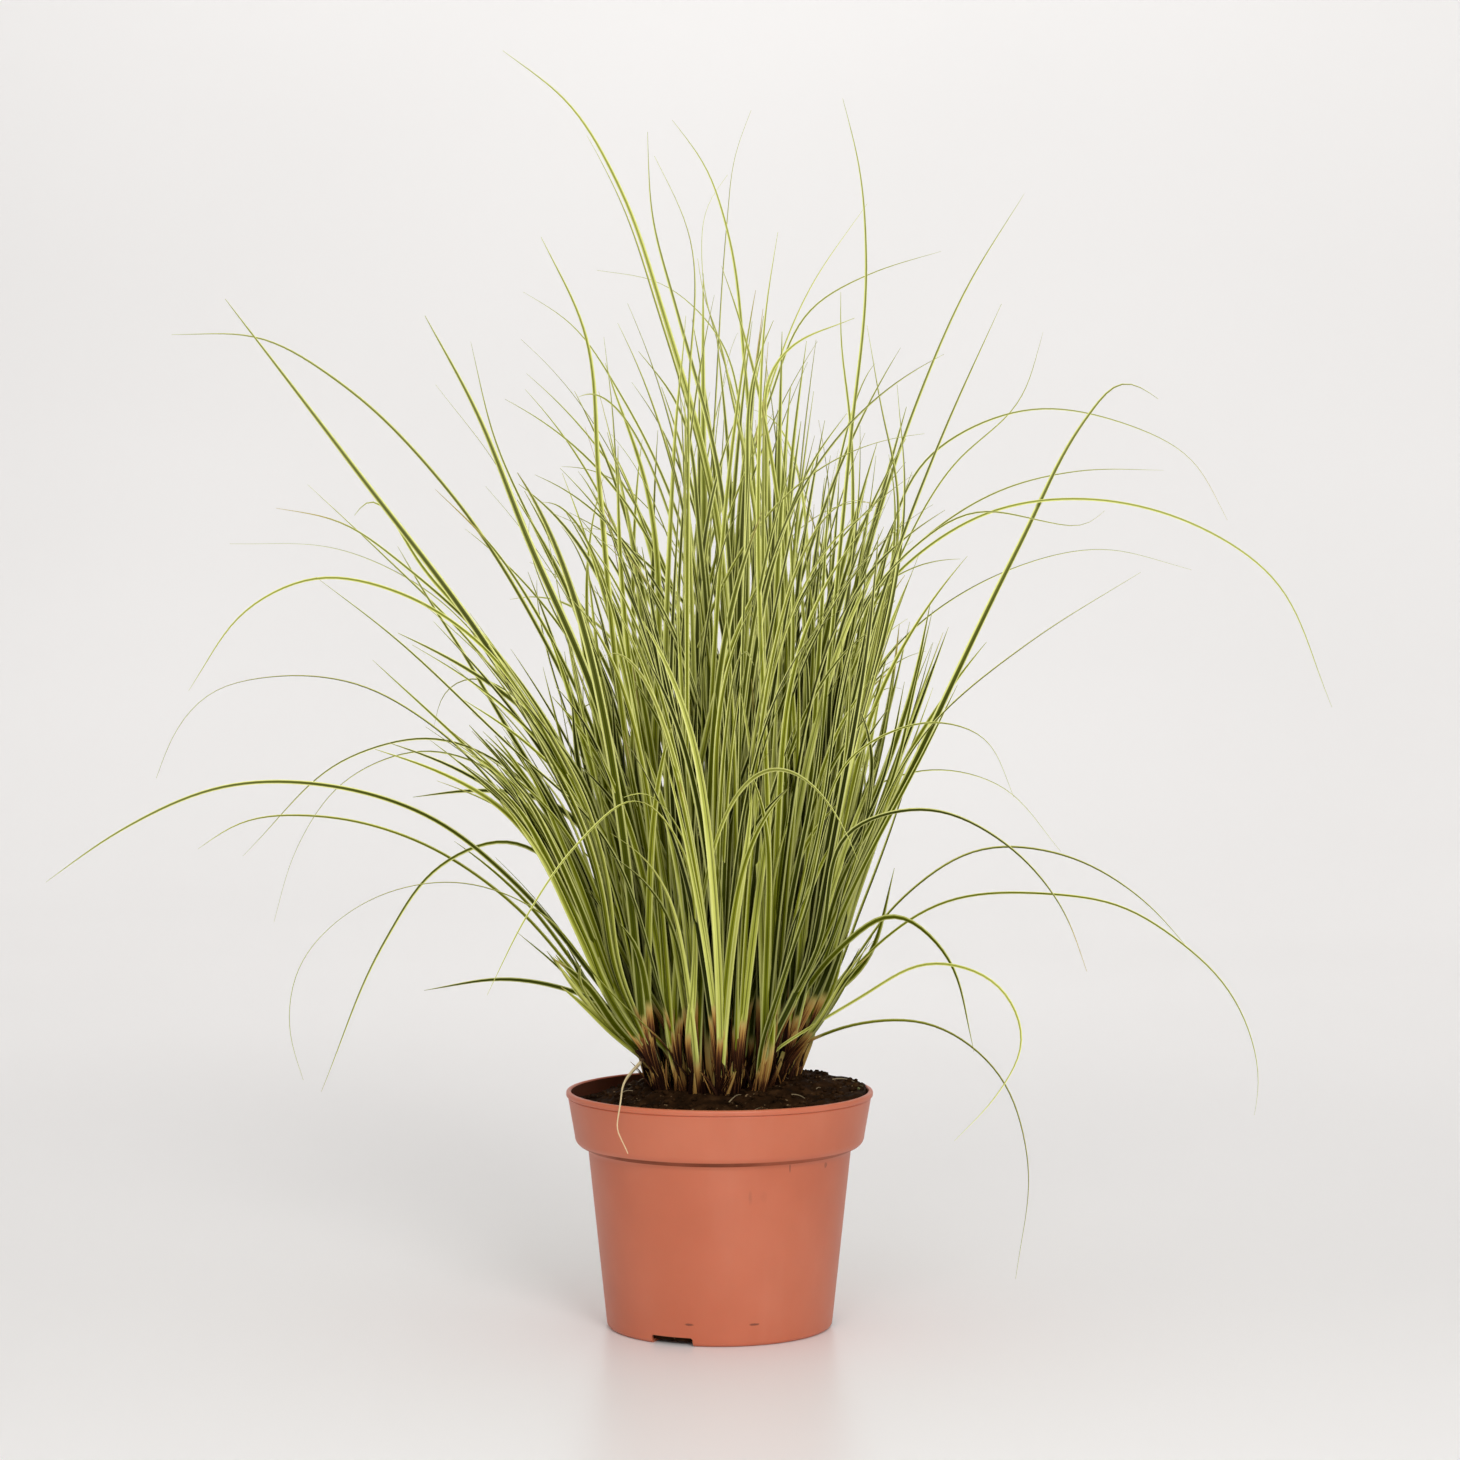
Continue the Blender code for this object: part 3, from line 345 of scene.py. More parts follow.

# How dark the feet get, from 0 (green) over straw and red-brown to 1 (near black), by withering and in
# part as painted shade at the crown's base:
# the share of leaves up to this kind, how dark it gets, and how far up in millimetres. Dark shoots have
# only the first two.
FOOT_KINDS = [
    (0.52, (0.85, 1.0), (22.0, 46.0)),
    (0.82, (0.25, 0.45), (16.0, 30.0)),
    (1.0, (0.7, 1.0), (9.0, 20.0)),
]
DARK_KINDS = 0.65

# Pale fibres on the compost, in millimetres: those that catch the eye, from (x, y) to (x, y), and others
LAID_FIBRES = [
    ((4, -27), (9, -20)), ((48, 10), (58, 14)), ((-20, -42), (-14, -45)), ((30, -22), (36, -26)),
]
LOOSE_FIBRES = 40
FIBRE_REACH = 57.0
FIBRE_END_REACH = 59.0

# The grid of the compost's surface, its lumps (height and spacing in millimetres, and a shift of the
# noise), and how many bits lie on it
SOIL_AROUND = 180
SOIL_RINGS = 58
LUMPS = [(1.5, 5.0, (0, 0, 0)), (0.9, 2.3, (7, 3, 0)), (0.45, 1.1, (1, 9, 0))]
CRUMBS = 900
RIM_LUMPS = 5
MOSS_BITS = 16

# The studio in metres: floor, backdrop, and each light's name, place, target, size and power
FLOOR_REACH = 6.0
BEND_START = 1.6
BEND_RADIUS = 1.4
SKY_STRENGTH = 0.38
LIGHTS = [
    ("key", (0.62, -1.9, 1.15), (0.0, 0.0, 0.25), (0.7, 0.7), 19.2),
    ("fill", (-0.5, -2.0, 1.15), (0.0, 0.0, 0.25), (0.8, 0.8), 9.2),
    ("top", (0.0, 0.1, 2.3), (0.0, 0.0, 0.2), (2.2, 2.2), 15.0),
    ("backdrop", (0.25, 1.2, 1.9), (0.25, 2.9, 0.9), (5.0, 1.0), 28.5),
]

# Small dark moulding marks and smudges on the pot: centre, half size (metres), strength and softness
POT_MARKS = [
    ((-0.0123, -0.0478, 0.0093), (0.0022, 0.01, 0.0006), 0.8, 0.25),
    ((0.0144, -0.0475, 0.0093), (0.0024, 0.01, 0.0006), 0.8, 0.25),
    ((0.0127, -0.0535, 0.0628), (0.0009, 0.01, 0.0030), 0.20, 0.6),
    ((0.0183, -0.0520, 0.0628), (0.0016, 0.01, 0.0026), 0.08, 0.6),
    ((0.0290, -0.0471, 0.0737), (0.0004, 0.01, 0.0022), 0.6, 0.25),
    ((0.0440, -0.0330, 0.0731), (0.0007, 0.01, 0.0014), 0.5, 0.25),
]


# Leaf lines: the same rules and draws as in the part


def chords_of(line):
    return np.linalg.norm(np.diff(line, axis=0), axis=1)


def lengths_along(line):
    """How far along the line each of its points lies."""
    return np.concatenate([[0.0], np.cumsum(chords_of(line))])


def points_at(values, knots, line):
    """Points of the line at some values of a measure that is knots at its own points."""
    return np.stack([np.interp(values, knots, column) for column in line.T], axis=1)


def polar(radius, angle):
    return radius * cos(angle), radius * sin(angle)


def eased(value, start, end):
    """0 up to start, 1 from end on, and a smooth step between them."""
    share = min(max((value - start) / (end - start), 0.0), 1.0)
    return share * share * (3.0 - 2.0 * share)


def soil_height(x, y):
    """The compost's surface: mounded under the crown and towards the right rim, lowest at the left."""
    side = SIDE_MOUND * eased(x, SIDE_MOUND_START, SIDE_MOUND_END)
    crown = CROWN_MOUND * eased(-hypot(x, y - CROWN_SETBACK), -CROWN_MOUND_FOOT, -CROWN_MOUND_TOP)
    bumps = SOIL_BUMP * noise.noise(Vector((x, y, 0.0)) / SOIL_BUMP_SPACING)
    return SOIL_LEVEL + side + crown + bumps


def direction(lean, heading):
    """The unit vector that leans from the vertical towards a heading."""
    return Vector((*polar(sin(lean), heading), cos(lean)))


def plan_shoots():
    """Where each shoot stands in the crown, spread like seeds in a flower head, and how it leans."""
    shoots = []
    for number in range(SHOOT_COUNT):
        radius = CROWN_RADIUS * sqrt((number + 0.5) / SHOOT_COUNT)
        angle = number * GOLDEN_ANGLE
        x, y = polar(radius, angle)
        y += CROWN_SETBACK
        lean = LEAN_CENTRE + (LEAN_OUTER - LEAN_CENTRE) * radius / CROWN_RADIUS
        ring = "centre" if radius < CENTRE_RING else "middle" if radius < MIDDLE_RING else "outer"
        name = f"shoot_{ring}_{1 + sum(shoot.ring == ring for shoot in shoots):02d}"
        shoot = SimpleNamespace(name=name, ring=ring, angle=angle, lean=lean, leaves=[])
        shoot.foot, shoot.axis = Vector((x, y, soil_height(x, y))), direction(lean, angle)
        shoots.append(shoot)
    return shoots


def smooth_path(anchors):
    """Points close together along a smooth curve through the anchors."""
    anchors = np.asarray(anchors, float)
    chords, knots = chords_of(anchors), lengths_along(anchors)
    slopes = np.gradient(anchors, knots, axis=0)
    at = np.linspace(0.0, knots[-1], LINE_POINTS)
    span = np.clip(np.searchsorted(knots, at, side="right") - 1, 0, len(chords) - 1)
    step = chords[span][:, None]
    t = (at - knots[span])[:, None] / step
    curve = (2 * t**3 - 3 * t**2 + 1) * anchors[span] + (3 * t**2 - 2 * t**3) * anchors[span + 1]
    return curve + step * ((t**3 - 2 * t**2 + t) * slopes[span] + (t**3 - t**2) * slopes[span + 1])


def pared(path):
    """The same line with few points: far apart where it runs straight, closer where it bends."""
    lengths = chords_of(path)
    ways = np.diff(path, axis=0) / lengths[:, None]
    turns = np.arccos(np.clip((ways[1:] * ways[:-1]).sum(axis=1), -1.0, 1.0))
    spacing = lengths / STRAIGHT_STEP + np.append(turns, 0.0) / BEND_STEP
    measure = np.cumsum(np.concatenate([[0.0], spacing]))
    even = np.linspace(0.0, measure[-1], ceil(measure[-1]) + 1)
    return points_at(even, measure, path)


def root_of(shoot, height):
    """Where a shoot's next leaf starts inside its sheath: on the axis, a little to one side."""
    side = tau * len(shoot.leaves) / LEAVES_PER_SHOOT + shoot.angle
    return shoot.foot + shoot.axis * height + Vector((*polar(1.0, side), 0.0)) * ROOT_SPREAD


def on_sight_line(x, z, depth):
    """The point at a depth y that the eye sees where (x, z) is at depth 0."""
    scale = 1.0 + depth / EYE_DISTANCE
    return (x * scale, depth, EYE_HEIGHT + (z - EYE_HEIGHT) * scale)


def drawn_line(shoot, tip_depth, outline):
    """A drawn leaf's line from its root to its tip, its depth growing towards the tip."""
    outline = np.array(outline, float) * MM
    chords = chords_of(np.concatenate([[[shoot.foot.x, SOIL_LEVEL]], outline]))
    shares = np.cumsum(chords) / chords.sum()
    depths = shoot.foot.y + (tip_depth - shoot.foot.y) * shares**DEPTH_POWER
    rise = (outline[0][1] - SOIL_LEVEL) / ROOT_RISE
    root = root_of(shoot, SHEATH_HEIGHT * min(max(rise, LOWEST_ROOT), HIGHEST_ROOT))
    seen = [on_sight_line(x, z, depth) for (x, z), depth in zip(outline, depths)]
    return smooth_path([root] + seen)


def bent_line(start, heading, length, lean, bend, power, sway):
    """A line that rises at a lean and bends over more and more, its heading swaying to one side."""
    points = [start]
    for number in range(SOWN_STEPS):
        share = (number + 0.5) / SOWN_STEPS
        way = direction(lean + bend * share**power, heading + sway * share)
        points.append(points[-1] + way * length / SOWN_STEPS)
    return np.array(points)


def sown_line(shoot, rng):
    """A leaf's line by rule: it rises along its sheath and bends over more and more towards the tip."""
    spread = shoot.lean / LEAN_OUTER
    heading = shoot.angle + rng.gauss(0.0, SOWN_TURN * (2.0 - spread))
    length = rng.uniform(*SOWN_LENGTHS)
    lean = max(SOWN_LEAN_SHARE * shoot.lean + rng.gauss(*SOWN_LEAN), LEAST_LEAN)
    bend = rng.uniform(*SOWN_BEND) + spread * rng.uniform(0.0, SOWN_DROOP)
    power = rng.uniform(*SOWN_BEND_POWER)
    sway = rng.gauss(0.0, SOWN_SWAY)
    root = root_of(shoot, HIGHEST_ROOT * SHEATH_HEIGHT)
    return bent_line(root, heading, length, lean, bend, power, sway)


def half_widths(path, width):
    """Half the leaf's width at each point: even along its lower half and narrow at the tip."""
    along = lengths_along(path)
    return width / 2 * (1.0 - (1.0 - LEAF_TIP_SHARE) * (along / along[-1]) ** LEAF_TAPER)


def line_gaps(first, second):
    """Distances between each stretch of one line and each stretch of another."""
    u, v = np.diff(first, axis=0)[:, None], np.diff(second, axis=0)
    w = first[:-1, None] - second[:-1]
    uu, vv, uv = (u * u).sum(-1), (v * v).sum(-1), (u * v).sum(-1)
    uw, vw = (u * w).sum(-1), (v * w).sum(-1)
    spread = np.maximum(uu * vv - uv * uv, 1e-18)
    s = np.clip((uv * vw - vv * uw) / spread, 0.0, 1.0)
    t = np.clip((uv * s + vw) / vv, 0.0, 1.0)
    s = np.clip((uv * t - uw) / uu, 0.0, 1.0)
    return np.linalg.norm(w + s[..., None] * u - t[..., None] * v, axis=-1)


def sheath_line(shoot):
    return np.array([shoot.foot - shoot.axis * SHEATH_DEPTH, shoot.foot + shoot.axis * SHEATH_HEIGHT])


def has_room(path, shoot, shoots):
    """Whether the leaf stays clear of every other shoot, beyond both their half widths."""
    halves = half_widths(path, LEAF_WIDTH)[:-1, None]
    for other in shoots:
        if other is shoot:
            continue
        rooms = [line_gaps(path, sheath_line(other)) - halves - SHEATH_FOOT_RADIUS]
        rooms += [line_gaps(path, leaf.path) - halves - leaf.halves[:-1] for leaf in other.leaves]
        if min(room.min() for room in rooms) <= LEAF_CLEARANCE:
            return False
    return True


def stays_in_bounds(path):
    """Whether a leaf clears the pot's rim and the floor, and reaches no further than the clump does."""
    radii = np.hypot(path[:, 0], path[:, 1])
    over_rim = (radii > CROWN_CLEAR_RADIUS) & (radii < RIM_CLEAR_RADIUS)
    clears_rim = not (over_rim & (path[:, 2] < RIM_CLEAR_HEIGHT)).any()
    return clears_rim and path[:, 2].min() > FLOOR_CLEARANCE and radii.max() < MOST_REACH


def stays_in_fan(path, top=FAN_TOP, slope=FAN_SLOPE):
    """Whether a leaf, as the eye sees it, stays among the drawn ones and off the pot's front."""
    scales = 1.0 + path[:, 1] / EYE_DISTANCE
    across = np.abs(path[:, 0] / scales)
    height = EYE_HEIGHT + (path[:, 2] - EYE_HEIGHT) / scales
    outside = across > FAN_FOOT + slope * (height - SOIL_LEVEL)
    outside |= height > top - FAN_SHOULDER * across
    in_front = (path[:, 1] < FRONT_DEPTH) & (height < FRONT_LOWEST)
    return not (outside | in_front).any()


def add_leaf(shoot, kind, line, width, solid_width=LEAF_WIDTH):
    """Gives the shoot a leaf: its line, how wide it looks, and the path and width that the solid has."""
    path = pared(line)
    halves = half_widths(path, solid_width)
    shoot.leaves.append(SimpleNamespace(kind=kind, line=line, width=width, path=path, halves=halves))


def nearest_shoot(foot, shoots):
    """The shoot that stands nearest a place given in millimetres from the crown's middle."""
    spot = Vector((foot[0] * MM, foot[1] * MM + CROWN_SETBACK))
    return min(shoots, key=lambda shoot: (shoot.foot.xy - spot).length)


def nearest_free_shoot(foot, shoots):
    return nearest_shoot(foot, [shoot for shoot in shoots if len(shoot.leaves) < LEAVES_PER_SHOOT])


def place_drawn_leaves(shoots):
    """Each drawn leaf takes the depth nearest its own at which it clears the leaves before it."""
    for foot, tip_depth, width, outline in DRAWN_LEAVES:
        shoot = nearest_free_shoot(foot, shoots)
        for shift in DEPTH_SHIFTS:
            line = drawn_line(shoot, (tip_depth + shift) * MM, outline)
            if has_room(pared(line), shoot, shoots):
                add_leaf(shoot, "drawn", line, DRAWN_WIDENING * LEAF_WIDTH * width)
                break


def place_dry_strand(shoots):
    shoot = nearest_free_shoot(STRAND_FOOT, shoots)
    points = [root_of(shoot, STRAND_ROOT * SHEATH_HEIGHT), *(np.array(DRY_STRAND) * MM)]
    add_leaf(shoot, "strand", smooth_path(points), SEEN_STRAND_WIDTH, STRAND_WIDTH)


def place_sown_leaves(shoots):
    """Fills every shoot up with leaves that follow the rule, each sown again until it has room."""
    rng = random.Random(SEED)
    for shoot in shoots:
        tries = 0
        while len(shoot.leaves) < LEAVES_PER_SHOOT and tries < MOST_TRIES:
            tries += 1
            line = sown_line(shoot, rng)
            path = pared(line)
            if stays_in_bounds(path) and stays_in_fan(path) and has_room(path, shoot, shoots):
                add_leaf(shoot, "sown", line, SOWN_SEEN_WIDTH)


# Leaves that only the looks have


def strayed(straying, rng):
    return rng.gauss(0.0, straying), rng.gauss(0.0, straying)


def companion_line(line, rng):
    """A leaf beside another: the same arc, shorter, and turned a little about their root."""
    root = line[0]
    outlying = line[:, 2].max() - line[-1, 2] > DROOP or abs(line[-1, 0]) > FAR_TIP
    kept = line[: int(len(line) * rng.uniform(*(OUTLYING_LENGTHS if outlying else COMPANION_LENGTHS)))]
    turn = Matrix.Rotation(rng.gauss(0.0, COMPANION_TURN), 3, "Z")
    across = Vector(kept[-1] - root).cross(Vector((0, 0, 1)))
    nod = Matrix.Rotation(rng.gauss(0.0, COMPANION_NOD), 3, across)
    shift = np.array([*strayed(COMPANION_SHIFT, rng), 0.0]) * MM
    return root + shift + (kept - root) @ np.array(turn @ nod).T


def core_line(shoot, lengths, straying, bends, powers, rng):
    """One of the many upright leaves of the core, which spread like a fan."""
    spread = shoot.lean / LEAN_OUTER
    heading = shoot.angle + rng.gauss(0.0, straying + 0.9 * (1.0 - spread))
    length = rng.triangular(*lengths)
    lean = max(radians(rng.gauss(CORE_LEAN + CORE_OUTWARD_LEAN * spread, CORE_LEAN_STRAYING)), LEAST_LEAN)
    bend = radians(rng.uniform(*bends) * (1.0 + 0.6 * spread))
    power = rng.uniform(*powers)
    sway = radians(rng.gauss(0.0, CORE_SWAY))
    root = root_of(shoot, CORE_ROOT * SHEATH_HEIGHT)
    root += Vector((*strayed(CORE_ROOT_STRAYING, rng), 0.0)) * MM
    return bent_line(root, heading, length, lean, bend, power, sway)


def nodding(line, rng):
    """The line with its last stretch bent aside and down, by a different way and measure each time."""
    share = np.clip(np.linspace(-1.2, 1.0, len(line)), 0.0, 1.0)[:, None] ** 2
    reach = np.linalg.norm(line[-1] - line[0])
    aside = rng.gauss(0.0, 0.08) * reach
    return line + share * np.array([*polar(aside, rng.uniform(0.0, tau)), -0.35 * abs(aside)])


def stays_in(line):
    """Whether a leaf that only the looks have keeps to the bounds, and within the box of the solids."""
    return stays_in_bounds(line) and (line > CAD_BOX[0]).all() and (line < CAD_BOX[1]).all()


def stream_outline(outline, spread, rng):
    """The middle line of a stream, cut short and moved aside more and more towards the tip."""
    outline = np.array(outline, float)
    share = np.linspace(0.25, 1.0, len(outline))
    aside = rng.gauss(0.0, spread) * share + rng.gauss(0.0, 0.4 * spread) * share**2
    way = outline[-1] - outline[0]
    way /= np.linalg.norm(way)
    outline += aside[:, None] * np.array([way[1], -way[0]])
    last = rng.uniform(*STREAM_LENGTHS) * (len(outline) - 1)
    return points_at(np.linspace(0.0, last, len(outline)), np.arange(len(outline)), outline)


def place_streams(shoots, rng):
    for foot, depth, count, spread, outline in STREAMS:
        for _ in range(count):
            shoot = nearest_shoot([rng.gauss(*place) for place in zip(foot, STREAM_FOOT_STRAYING)], shoots)
            tip_depth = (depth + rng.gauss(0.0, STREAM_DEPTH_STRAYING)) * MM
            line = nodding(drawn_line(shoot, tip_depth, stream_outline(outline, spread, rng)), rng)
            if stays_in(line):
                add_leaf(shoot, "stream", line, LEAF_WIDTH * rng.uniform(*STREAM_WIDTHS))


def place_companions(shoot, rng):
    for leaf in list(shoot.leaves):
        if leaf.kind != "strand" and leaf.line[:, 2].max() >= COMPANION_LOWEST_TOP:
            line = companion_line(leaf.line, rng)
            if stays_in(line):
                add_leaf(shoot, "companion", line, LEAF_WIDTH * rng.uniform(*COMPANION_WIDTHS))


def place_core(shoot, rng):
    for count, lengths, straying, bends, powers, widths, top in CORE_GROUPS:
        placed = 0
        for _ in range(count * TRIES_PER_LEAF):
            line = nodding(core_line(shoot, lengths, straying, bends, powers, rng), rng)
            if placed < count and stays_in(line) and stays_in_fan(line, top, CORE_SLOPE):
                add_leaf(shoot, "core", line, LEAF_WIDTH * rng.uniform(*widths))
                placed += 1


# Leaf meshes


def placed(name, data):
    obj = bpy.data.objects.new(name, data)
    bpy.context.scene.collection.objects.link(obj)
    return obj


def add_piece(name, mesh, material, replaced=None, sharp=180.0):
    """A piece of the root body, smooth but for edges over a sharp angle in degrees."""
    mesh.shade_smooth()
    if sharp < 180.0:
        mesh.set_sharp_from_angle(angle=radians(sharp))
    mesh.materials.append(material)
    piece = placed(name, mesh)
    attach(piece, "root")
    if replaced:
        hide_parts(replaced)


def resampled(line, step):
    """The line with points a step apart and its bends rounded, and how far along each point lies."""
    along = lengths_along(line)
    even = np.linspace(0.0, along[-1], max(int(along[-1] / step), 6) + 1)
    points = points_at(even, along, line)
    for _ in range(SMOOTHINGS):
        points[1:-1] = (points[:-2] + 2.0 * points[1:-1] + points[2:]) / 4.0
    return points, even


def rooted(line, shoot, rng):
    """The leaf's line carried down along its shoot into the compost."""
    side = Vector((*strayed(1.0, rng), 0.0)).normalized()
    foot = shoot.foot + side * rng.uniform(*ROOTED_SPREAD) * MM - shoot.axis * ROOTED_DEPTH
    low = [foot.lerp(Vector(line[0]), share) for share in (0.0, 0.25, 0.5, 0.75)]
    return np.concatenate([low, line])


def carried_frames(points, turn):
    """Side and up directions along a line: the side lies across the eye's sight at the foot and is
    carried along without twist, then turned by an angle at each point."""
    ways = np.gradient(points, axis=0)
    ways /= np.linalg.norm(ways, axis=1)[:, None]
    side = np.cross(ways[0], SIGHT)
    sides = np.empty_like(points)
    for number, way in enumerate(ways):
        side = side - way * np.dot(side, way)
        side = side / np.linalg.norm(side)
        sides[number] = side
    ups = np.cross(sides, ways)
    kept, swung = np.cos(turn)[:, None], np.sin(turn)[:, None]
    return sides * kept + ups * swung, ups * kept - sides * swung


class BladeMesh:
    """Collects blades, each a closed V-shaped strip, into one mesh with tone, withering with painted
    shade, and UVs.
    """

    AROUND = np.array([[0, 1, 5, 4], [1, 2, 6, 5], [2, 3, 7, 6], [3, 0, 4, 7]])
    ACROSS = np.array([[0, 0.5, 0.5, 0], [0.5, 1, 1, 0.5], [1, 0.5, 0.5, 1], [0.5, 0, 0, 0.5]])

    def __init__(self):
        self.points, self.faces, self.uvs, self.tones, self.wither_shades = [], [], [], [], []
        self.count = 0

    def add(self, points, along, halves, fold, turn, tone, wither_shades):
        sides, ups = carried_frames(points, turn)
        wide, high = halves[:, None], (halves * fold)[:, None]
        left = points - sides * wide + ups * high
        right = points + sides * wide + ups * high
        top = points - ups * high * 0.25
        keel = top - ups * np.maximum(halves * 0.2, 0.09 * MM)[:, None]
        self.points.append(np.stack([left, top, right, keel], axis=1).reshape(-1, 3))
        rings = len(points) - 1
        first = self.count + 4 * np.arange(rings)[:, None]
        last = self.count + 4 * rings
        self.faces.append((first[:, None] + self.AROUND).reshape(-1, 4))
        self.faces.append(np.array([self.count + np.array([3, 2, 1, 0]), last + np.arange(4)]))
        low, high = along[:-1], along[1:]
        uv = np.empty((rings, 4, 4, 2))
        uv[..., 0] = self.ACROSS
        uv[..., 1] = np.stack([low, low, high, high], axis=1)[:, None]
        self.uvs.append(uv.reshape(-1, 2))
        self.uvs.append(np.array([[0.5, along[0]]] * 4 + [[0.5, along[-1]]] * 4))
        self.tones.append(np.full(4 * len(points), tone))
        self.wither_shades.append(np.repeat(wither_shades, 4))
        self.count += 4 * len(points)

    def build(self, name, material, slot, replaced=None):
        mesh = bpy.data.meshes.new(name)
        mesh.from_pydata(np.concatenate(self.points).tolist(), [], np.concatenate(self.faces).tolist())
        mesh.uv_layers.new(name="Blade").data.foreach_set("uv", np.concatenate(self.uvs).ravel())
        for label, values in (("tone", self.tones), ("wither_shade", self.wither_shades)):
            attribute = mesh.attributes.new(label, "FLOAT", "POINT")
            attribute.data.foreach_set("value", np.concatenate(values).astype(np.float32))
        add_piece(name, mesh, material, replaced, sharp=55.0)


def foot_wither_and_shade(above, shoot, rng):
    """How dark a leaf is at each height above the compost, by the kind of foot that it draws: withered,
    and near black in part as painted shade at the crown's base.
    """
    drawn = rng.random() * (DARK_KINDS if shoot.dark else 1.0)
    most, reach = next(kind[1:] for kind in FOOT_KINDS if drawn < kind[0])
    most, reach = rng.uniform(*most), rng.uniform(*reach) * MM
    share = np.clip(above / reach, 0.0, 1.0)
    at_soil = 0.35 * np.clip(1.0 - above / (4.0 * MM), 0.0, 1.0)
    return np.clip(most * (1.0 - share**1.8) + at_soil, 0.0, 1.0)


def blade_turn(leaf, rng):
    """How far a leaf is turned from facing the eye: broad ones little, fine ones half-way."""
    if leaf.kind != "drawn":
        return rng.uniform(*HIDDEN_TURNS)
    if leaf.width > BROAD_LEAF * LEAF_WIDTH:
        return rng.gauss(0.0, BROAD_TURN)
    return rng.choice((-1.0, 1.0)) * rng.uniform(*FINE_TURNS)


def add_blade(blades, leaf, shoot, rng):
    """One leaf from the compost to its tip: clasping at the foot and darkened there by withering and
    painted shade, open above.
    """
    points, along = resampled(rooted(leaf.line, shoot, rng), RING_STEP)
    share = along / along[-1]
    above = along - ROOTED_DEPTH
    near_foot = np.clip(1.0 - above / CLASP_HEIGHT, 0.0, 1.0)
    halves = leaf.width / 2 * (1.0 - 0.93 * share**4.5) * (1.0 - 0.22 * near_foot)
    fold = 0.24 + 0.55 * near_foot
    turn = blade_turn(leaf, rng) * (1.0 - near_foot) + rng.gauss(0.0, 0.6) * share
    wither_shades = foot_wither_and_shade(above, shoot, rng)
    if rng.random() < 0.25:
        dry_tip = np.clip((share - rng.uniform(0.85, 1.0)) / 0.08, 0.0, 1.0) * rng.uniform(0.04, 0.16)
        wither_shades = np.maximum(wither_shades, dry_tip)
    if leaf.kind == "core" and rng.random() < 0.012:
        wither_shades = np.maximum(wither_shades, rng.uniform(0.08, 0.2))
    tones = DRAWN_TONES if leaf.kind == "drawn" else HIDDEN_TONES
    if leaf.kind == "drawn" and abs(leaf.line[-1, 0]) > FAR_TIP:
        tones = OUTLYING_TONES
    blades.add(points, along, halves, fold, turn, rng.uniform(*tones), wither_shades)


def add_dry_blade(blades, line, width, rng):
    points, along = resampled(line, 1.6 * MM)
    share = along / along[-1]
    halves = width / 2 * (1.0 - 0.6 * share)
    blades.add(points, along, halves, 0.5, 0.8 * share, rng.random(), np.ones(len(points)))


def add_dead_sheaths(blades, shoot, widest, rng):
    """Short dry sheaths and frayed leaf bases around the foot of a shoot, straw and near black, the near
    black in part painted shade.
    """
    for number in range(DEAD_SHEATHS):
        out = Vector((*polar(1.0, rng.uniform(0.0, tau)), 0.0))
        foot = shoot.foot + out * rng.uniform(0.8, 4.2) * MM - shoot.axis * 2.5 * MM
        length = rng.triangular(6.0, 28.0 if number % 3 else 20.0, 14.0) * MM
        lean = max(shoot.lean * 0.9 + rng.gauss(0.0, 0.12), 0.02)
        heading = shoot.angle + rng.gauss(0.0, 0.8)
        line = bent_line(foot, heading, length, lean, rng.uniform(0.0, 0.6), 2.0, 0.3)
        points, along = resampled(line, 3.0 * MM)
        share = along / along[-1]
        halves = rng.uniform(0.4, 1.0) * widest / 2 * (1.0 - 0.85 * share**2.0)
        middle = rng.uniform(0.7, 1.0) if number % 3 else rng.uniform(0.2, 0.45)
        wither_shades = np.clip(middle + 0.2 * (0.5 - share), 0.0, 1.0)
        blades.add(points, along, halves, 0.7, 0.6 * share, rng.random(), wither_shades)


def build_shoots(shoots, material):
    rng, frays = random.Random(CLUMP_SEED), random.Random(CLUMP_SEED + 3)
    for shoot in shoots:
        place_companions(shoot, rng)
        place_core(shoot, rng)
    place_streams(shoots, rng)
    for shoot in shoots:
        shoot.dark = rng.random() < DARK_SHARE or shoot.foot.x > DARK_SIDE
        blades = BladeMesh()
        for leaf in shoot.leaves:
            if leaf.kind != "strand":
                add_blade(blades, leaf, shoot, rng)
        add_dead_sheaths(blades, shoot, SHEATH_WIDTH, rng)
        add_dead_sheaths(blades, shoot, FRAY_WIDTH, frays)
        blades.build(f"grass_{shoot.name}", material, f"grass_{shoot.ring}", shoot.name)


def build_dry_strand():
    """The dead strand that hangs over the rim, and pale fibres on the compost."""
    rng = random.Random(CLUMP_SEED + 2)
    strand, fibres = BladeMesh(), BladeMesh()
    add_dry_blade(strand, smooth_path(np.array(SEEN_STRAND) * MM), SEEN_STRAND_WIDTH, rng)
    for start, end in LAID_FIBRES:
        add_dry_blade(fibres, fibre_line(start, end), 0.5 * MM, rng)
    for _ in range(LOOSE_FIBRES):
        start = polar(FIBRE_REACH * sqrt(rng.random()), rng.uniform(0.0, tau))
        turn, length = rng.uniform(0.0, tau), rng.uniform(2.5, 8.0)
        end = np.add(start, polar(length, turn))
        if hypot(*end) < FIBRE_END_REACH:
            add_dry_blade(fibres, fibre_line(start, end), rng.uniform(0.2, 0.45) * MM, rng)
    pale = straw_material("pale_straw", (0.60, 0.42, 0.20), (0.82, 0.68, 0.42), 4.0 * MM)
    dull = straw_material("dull_fibre", (0.22, 0.15, 0.08), (0.42, 0.33, 0.19), 0.2 * MM)
    strand.build("dry_strand", pale, "grass_outer")
    fibres.build("compost_fibres", dull, "compost")


